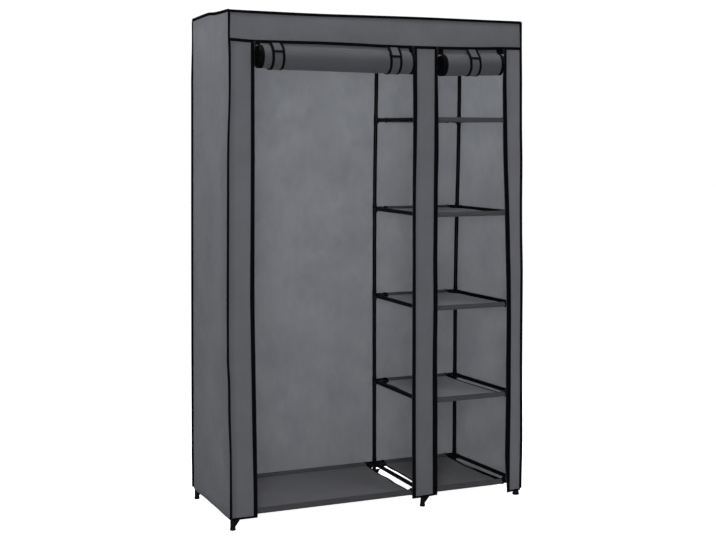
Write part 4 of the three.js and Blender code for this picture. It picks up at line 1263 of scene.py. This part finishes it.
for door, d in DOORS.items():
    x0, x1 = d["x"]
    seed = 301 if door == "main_door" else 331
    shape, drop = roll_shape(d, seed)
    # columns: fine at the zip tapes, wider between
    tape_w = 0.0125
    cols = np.concatenate([x0 + np.array([0, 0.004, 0.008, tape_w]), np.arange(x0 + tape_w + 0.006, x1 - tape_w - 0.003, 0.0095),
                           x1 - np.array([tape_w, 0.008, 0.004, 0.0])])
    r_out, pitch, core = d["r"], d["pitch"], 0.0085
    turns = (r_out - core) / pitch
    th0 = 0.16
    theta = np.linspace(th0, th0 + 2 * math.pi * turns, int(turns * 44))
    TH, X = np.meshgrid(theta, cols, indexing="ij")
    R = r_out - pitch * (TH - th0) / (2 * math.pi)
    R = R * shape(TH, X)
    ragged = 0.0012 * vnoise(TH * 0.9, 0.4, seed + 5)[:, :1] * np.sign(X - (x0 + x1) / 2) * (np.abs(X - (x0 + x1) / 2) / ((x1 - x0) / 2)) ** 6
    Y = ROLL_Y - R * np.sin(TH)
    Z = d["z"] + drop(X) + R * np.cos(TH)
    P = np.stack([X + ragged, Y, Z], -1)
    s = lengths(P[:, len(cols) // 2])
    UV = np.stack([np.broadcast_to(X, TH.shape), np.repeat(s[:, None], len(cols), 1)], -1)
    UVt = UV.copy()
    pick = lambda u, v, x0=x0, x1=x1: ((u < x0 + tape_w) | (u > x1 - tape_w)).astype(int)
    body = shell(f"{door}_roll", P, UV, [M_DOOR, M_ZIP_HANG], t=0.0007, body=door, pick=pick)
    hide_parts(door)
    # the coil of the zip on both ends of the roll
    coils = []
    for tag, k, sign in (("left", 0, -1.0), ("right", -1, 1.0)):
        path = P[:, k]
        along = unit(np.gradient(path, axis=0))
        out = unit(np.column_stack([np.zeros(len(path)), -np.sin(theta), np.cos(theta)]))
        v, f = teeth(path + np.array([sign * 0.0004, 0, 0]), out, along, np.tile([sign, 0, 0], (len(path), 1)), 0.0022)
        coils.append(make(f"{door}_zip_coil_{tag}", v, f, M_TEETH, body=door, outward=True, flat=True))
    # the short length between the header and the roll
    n = 46
    first = P[0]
    tang = unit(P[1] - P[0])
    t = np.linspace(0, 1, n)
    cx = cols
    z_top = 1.6525
    rows = []
    # at its top the door is still in the sliders, so it is as wide as the opening there
    wide_l, wide_r = (-0.4692, 0.1208) if door == "main_door" else (0.2190, 0.4850)
    for j in range(len(cols)):
        side = np.clip(abs(cols[j] - (x0 + x1) / 2) / ((x1 - x0) / 2), 0, 1) ** 24
        p0 = np.array([cols[j] + side * ((wide_l - x0) if cols[j] < (x0 + x1) / 2 else (wide_r - x1)),
                       FRONT_C + 0.0006 + 0.0002 * vnoise(cols[j] * 11, 0.3, seed + 8), z_top])
        p3 = first[j]
        h = 0.42 * (z_top - p3[2])
        p1 = p0 + np.array([0, 0, -1.0]) * h * 1.6
        p2 = p3 - tang[j] * h * 0.55
        b = ((1 - t) ** 3)[:, None] * p0 + (3 * (1 - t) ** 2 * t)[:, None] * p1 + (3 * (1 - t) * t**2)[:, None] * p2 + (t**3)[:, None] * p3
        b[:, 0] = p3[0] + (p0[0] - p3[0]) * (1 - ease((t - 0.9) / 0.1))
        rows.append(b)
    W = np.stack(rows, 1)
    WS = np.stack([np.broadcast_to(cols, (n, len(cols))), np.repeat(lengths(W[:, len(cols) // 2])[:, None], len(cols), 1)], -1)
    web = shell(f"{door}_web", W, WS, [M_WEB, M_ZIP_HANG], t=0.0007, body=None, pick=pick)
    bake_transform(web)
    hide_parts(door)
    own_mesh(body)
    for c in coils:
        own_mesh(c)
    d["shape"], d["drop"] = shape, drop


# ------------------------------------------------------------ ties
def ring(d, x, clear, angles):
    """Points round the roll at a clearance from its surface; angles from straight up towards the front."""
    k = d["shape"](angles, np.full(len(angles), x))
    r = d["r"] * np.maximum(k, 0.985) + clear
    return np.column_stack([np.full(len(angles), x), ROLL_Y - r * np.sin(angles), d["z"] + d["drop"](x) + r * np.cos(angles)])


def tangent(d, x, clear, p, front):
    r = d["r"] + clear
    dy, dz = ROLL_Y - p[1], p[2] - (d["z"] + float(d["drop"](x)))
    dist = math.hypot(dy, dz)
    up, half = math.atan2(dy, dz), math.acos(min(1.0, r / dist))
    return up + half if front else up - half


STRAP_W = 0.045
for tag, x, door in (("left", -0.3984, "main_door"), ("middle", 0.0357, "main_door"), ("right", 0.3512, "side_door")):
    d = DOORS[door]
    rad = math.radians

    def ribbon(name, path, body, mats, t, ends):
        """A strap along path, bound at its sides and, where ends says, at its last end."""
        n = len(path)
        cols = np.array([-0.5, -0.42, -0.33, -0.31, -0.15, 0.0, 0.15, 0.31, 0.33, 0.42, 0.5]) * STRAP_W
        along = unit(np.gradient(path, axis=0))
        P = path[:, None] + np.array([1.0, 0, 0]) * cols[None, :, None]
        s = lengths(path)
        P[:, :, 0] += 0.0006 * vnoise(s * 30, 0.2, int(abs(x) * 1000))[:, None]
        UV = np.stack([np.broadcast_to(cols, (n, len(cols))), np.repeat(s[:, None], len(cols), 1)], -1)
        ob = shell(name, P, UV, mats, t=t, body=body)
        extra = []
        N = unit(np.cross(along, np.array([1.0, 0, 0])))
        for side, c in (("left", -1), ("right", 1)):
            q = path + np.array([c * (STRAP_W / 2 - 0.0040), 0, 0])
            q[:, 0] += 0.0006 * vnoise(s * 30, 0.2, int(abs(x) * 1000))
            extra.append(sweep(f"{name}_binding_{side}", q, np.array([1.0, 0, 0]), N, tape_profile(0.0096, t + 0.0011, 3), M_BIND, body=body))
        if ends:
            q = np.column_stack([path[-1, 0] + np.linspace(-STRAP_W / 2 + 0.0012, STRAP_W / 2 - 0.0012, 10), np.full(10, path[-1, 1]), np.full(10, path[-1, 2])])
            q = q - along[-1] * 0.0026
            extra.append(sweep(f"{name}_binding_end", q, along[-1], N[-1], tape_profile(0.0094, t + 0.0017, 3), M_BIND, body=body))
        return ob, extra

    # the long strap: behind, under and up the front of the roll
    start = np.array([x, FRONT + 0.0046, 1.6480])
    c_strap = 0.0010
    a0 = tangent(d, x, c_strap, start, False)
    arc = ring(d, x, c_strap, np.linspace(a0, rad(-311), 60))
    path = ease_corners(np.vstack([[start], [start + (arc[0] - start) * 0.5], arc]), 0.004, 1)
    ob, extra = ribbon(f"tie_strap_{tag}_cloth", path, BODY, [M_TIE], 0.0009, True)
    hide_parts(f"tie_strap_{tag}")
    for o in [ob] + extra:
        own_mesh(o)
    # the front tab: from the header down over the end of the strap
    slant, end_angle = {"left": (0.003, 66), "middle": (0.009, 66), "right": (0.003, 59)}[tag]
    top_pt = np.array([x, FRONT + 0.0013, float(header_low(x)) - 0.0010])
    c_tab = 0.0031
    b0 = tangent(d, x, c_tab, top_pt, True)
    arc = ring(d, x, c_tab, np.linspace(b0, rad(end_angle), 14))
    path = ease_corners(np.vstack([[top_pt], [top_pt + (arc[0] - top_pt) * 0.5], arc]), 0.0025, 1)
    path[:, 0] += slant * (1 - lengths(path) / lengths(path)[-1])
    ob, extra = ribbon(f"tie_tab_{tag}_cloth", path, f"tie_tab_{tag}", [M_TIE], 0.0009, True)
    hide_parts(f"tie_tab_{tag}")
    for o in [ob] + extra:
        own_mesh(o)


# ------------------------------------------------------------ sliders and pulls
def rounded_plate(w, h, d, y, z, r=0.0018, waist=0.0):
    """A plate in the X-Z plane with rounded corners and a slight waist."""
    pts = []
    for cx, cz, a0 in ((w / 2 - r, h / 2 - r, 0), (-w / 2 + r, h / 2 - r, 90), (-w / 2 + r, -h / 2 + r, 180), (w / 2 - r, -h / 2 + r, 270)):
        for a in np.linspace(a0, a0 + 90, 5):
            pts.append((cx + r * math.cos(math.radians(a)), cz + r * math.sin(math.radians(a))))
    pts = np.array(pts)
    pts[:, 0] *= 1 - waist * (1 - (2 * pts[:, 1] / h) ** 2)
    n = len(pts)
    e = min(0.0003, d / 3)
    rings = []
    for yy_, k in ((y - d / 2, e), (y - d / 2 + e, 0), (y + d / 2 - e, 0), (y + d / 2, e)):
        q = pts * (1 - 2 * k / np.array([w, h]))
        rings.append(np.column_stack([q[:, 0], np.full(n, yy_), q[:, 1] + z]))
    v = np.concatenate(rings)
    f = [list(range(n)), [3 * n + i for i in range(n)][::-1]]
    for a in range(3):
        for i in range(n):
            f.append([a * n + i, (a + 1) * n + i, (a + 1) * n + (i + 1) % n, a * n + (i + 1) % n])
    return v, f


front_plate = rounded_plate(0.0084, 0.0108, 0.0011, -0.0032, 1.6402, 0.0022, 0.10)
rear_plate = rounded_plate(0.0082, 0.0104, 0.0009, -0.0009, 1.6402, 0.0022, 0.06)
post_mid = rounded_plate(0.0026, 0.0052, 0.0022, -0.0021, 1.6424, 0.0011)
saddle = rounded_plate(0.0016, 0.0016, 0.0016, -0.0043, 1.6431, 0.0005)
saddle2 = rounded_plate(0.0016, 0.0016, 0.0016, -0.0043, 1.6369, 0.0005)
bridge = rounded_plate(0.0016, 0.0078, 0.0009, -0.0055, 1.6400, 0.0005)
slider_solid = united([front_plate, post_mid, rear_plate, saddle, saddle2, bridge])
ring_out = rounded_plate(0.0054, 0.0066, 0.0010, -0.0045, 1.6358, 0.0020)
ring_hole = rounded_plate(0.0028, 0.0036, 0.0040, -0.0045, 1.6362, 0.0010)
tongue = rounded_plate(0.0052, 0.0210, 0.0012, -0.0045, 1.6228, 0.0016, 0.16)
slot_hole = rounded_plate(0.0022, 0.0064, 0.0040, -0.0045, 1.6186, 0.0010)
pull_solid = united([ring_out, tongue], [ring_hole, slot_hole])
for tag, x in (("main_left", -0.4695), ("main_right", 0.1212), ("side_left", 0.2155), ("side_right", 0.4868)):
    put(f"zip_slider_{tag}_casting", moved(slider_solid, x, FRONT, 0), M_SLIDER, f"zip_slider_{tag}", body=f"zip_slider_{tag}", sharp=50)
    put(f"zip_pull_{tag}_tongue", moved(pull_solid, x, FRONT, 0), M_SLIDER, f"zip_pull_{tag}", body=f"zip_pull_{tag}", sharp=50)


# ------------------------------------------------------------ floor
def floor():
    """White paper, so brightly lit away from the wardrobe that it has no tone."""
    t = Tree("floor_paint")
    p = t.coord("Object")
    t.link(t.mix(t.noise(p, 3.0, 4, 0.6), (0.58, 0.58, 0.58), (0.62, 0.62, 0.62)), t.bsdf.inputs["Base Color"])
    t.bsdf.inputs["Roughness"].default_value = 0.7
    sep = t.add("ShaderNodeSeparateXYZ")
    t.link(p, sep.inputs[0])
    dx = t.math("MAXIMUM", t.math("SUBTRACT", t.math("ABSOLUTE", sep.outputs[0]), 0.55), 0.0)
    dy = t.math("MAXIMUM", t.math("SUBTRACT", t.math("ABSOLUTE", sep.outputs[1]), 0.22), 0.0)
    away = t.math("SQRT", t.math("ADD", t.math("MULTIPLY", dx, dx), t.math("MULTIPLY", dy, dy)))
    lit = t.add("ShaderNodeEmission")
    t.link(t.span(away, 0.0, 0.25, 0.97, 1.0), lit.inputs["Strength"])
    seen = t.add("ShaderNodeLightPath")
    none = t.add("ShaderNodeEmission", Strength=0.0)
    only = t.add("ShaderNodeMixShader")
    t.link(seen.outputs["Is Camera Ray"], only.inputs[0])
    t.link(none.outputs[0], only.inputs[1])
    t.link(lit.outputs[0], only.inputs[2])
    total = t.add("ShaderNodeAddShader")
    t.link(t.bsdf.outputs[0], total.inputs[0])
    t.link(only.outputs[0], total.inputs[1])
    t.link(total.outputs[0], t.nt.nodes["Material Output"].inputs["Surface"])
    n = 49
    g = np.linspace(-30, 30, n)
    X, Y = np.meshgrid(g, g, indexing="ij")
    v = np.stack([X, Y, np.full(X.shape, -0.0002)], -1).reshape(-1, 3)
    ob = make("floor", v, grid_faces(n, n), t.mat, body=None, shift=False)


floor()


# ------------------------------------------------------------ light and camera
def area(name, at, to, size, watts, size_y=None):
    li = bpy.data.lights.new(name, "AREA")
    li.energy, li.size = watts, size
    li.shape = "RECTANGLE"
    li.size_y = size_y or size
    ob = bpy.data.objects.new(name, li)
    ob.location = at
    ob.rotation_euler = (Vector(to) - Vector(at)).to_track_quat("-Z", "Y").to_euler()
    ob.visible_camera = False
    bpy.context.scene.collection.objects.link(ob)
    return ob


# A white studio: the background is white to the eye, and its light is soft and
# weaker than the lamps'.
world = bpy.data.worlds.new("studio")
bpy.context.scene.world = world
world.use_nodes = True
wt = world.node_tree
bg = wt.nodes["Background"]
bg.inputs["Color"].default_value = (1, 1, 1, 1)
bg.inputs["Strength"].default_value = 1.05
dim = wt.nodes.new("ShaderNodeBackground")
dim.inputs["Color"].default_value = (0.97, 0.985, 1.0, 1)
dim.inputs["Strength"].default_value = 0.03
seen = wt.nodes.new("ShaderNodeLightPath")
both = wt.nodes.new("ShaderNodeMixShader")
wt.links.new(seen.outputs["Is Camera Ray"], both.inputs[0])
wt.links.new(dim.outputs[0], both.inputs[1])
wt.links.new(bg.outputs[0], both.inputs[2])
wt.links.new(both.outputs[0], wt.nodes["World Output"].inputs["Surface"])
area("key", (-1.62, -3.75, 1.45), (0.1, 0, 1.0), 1.8, 100, 1.6)
area("high_right", (1.6, -2.2, 3.0), (0.1, -0.2, 1.5), 1.2, 17)
area("left_high", (-1.75, 0.25, 2.35), (-0.55, 0.0, 1.65), 0.8, 17)
# these three shine through the cloth
area("above", (0.0, -0.1, 3.3), (0, 0, 1.75), 1.6, 56)
area("right", (2.1, 0.3, 2.4), (0.56, 0, 1.4), 1.2, 48)
area("behind", (0.3, 2.0, 2.2), (0.15, 0.22, 1.4), 1.6, 38)

cam = bpy.data.cameras.new("camera")
cam.sensor_fit, cam.sensor_width = "HORIZONTAL", 36.0
cam.lens = 1281.017 / 716 * 36.0
cam.shift_x, cam.shift_y = 0.0, -82.127 / 716
cam.clip_start, cam.clip_end = 0.05, 200
cam_ob = bpy.data.objects.new("camera", cam)
cam_ob.location = (-1.8785, -4.29495 + SY, 1.30754)
cam_ob.rotation_euler = (math.pi / 2 - 0.03564, 0, -0.41318)
bpy.context.scene.collection.objects.link(cam_ob)
bpy.context.scene.camera = cam_ob
bpy.context.scene.view_settings.view_transform = "Standard"
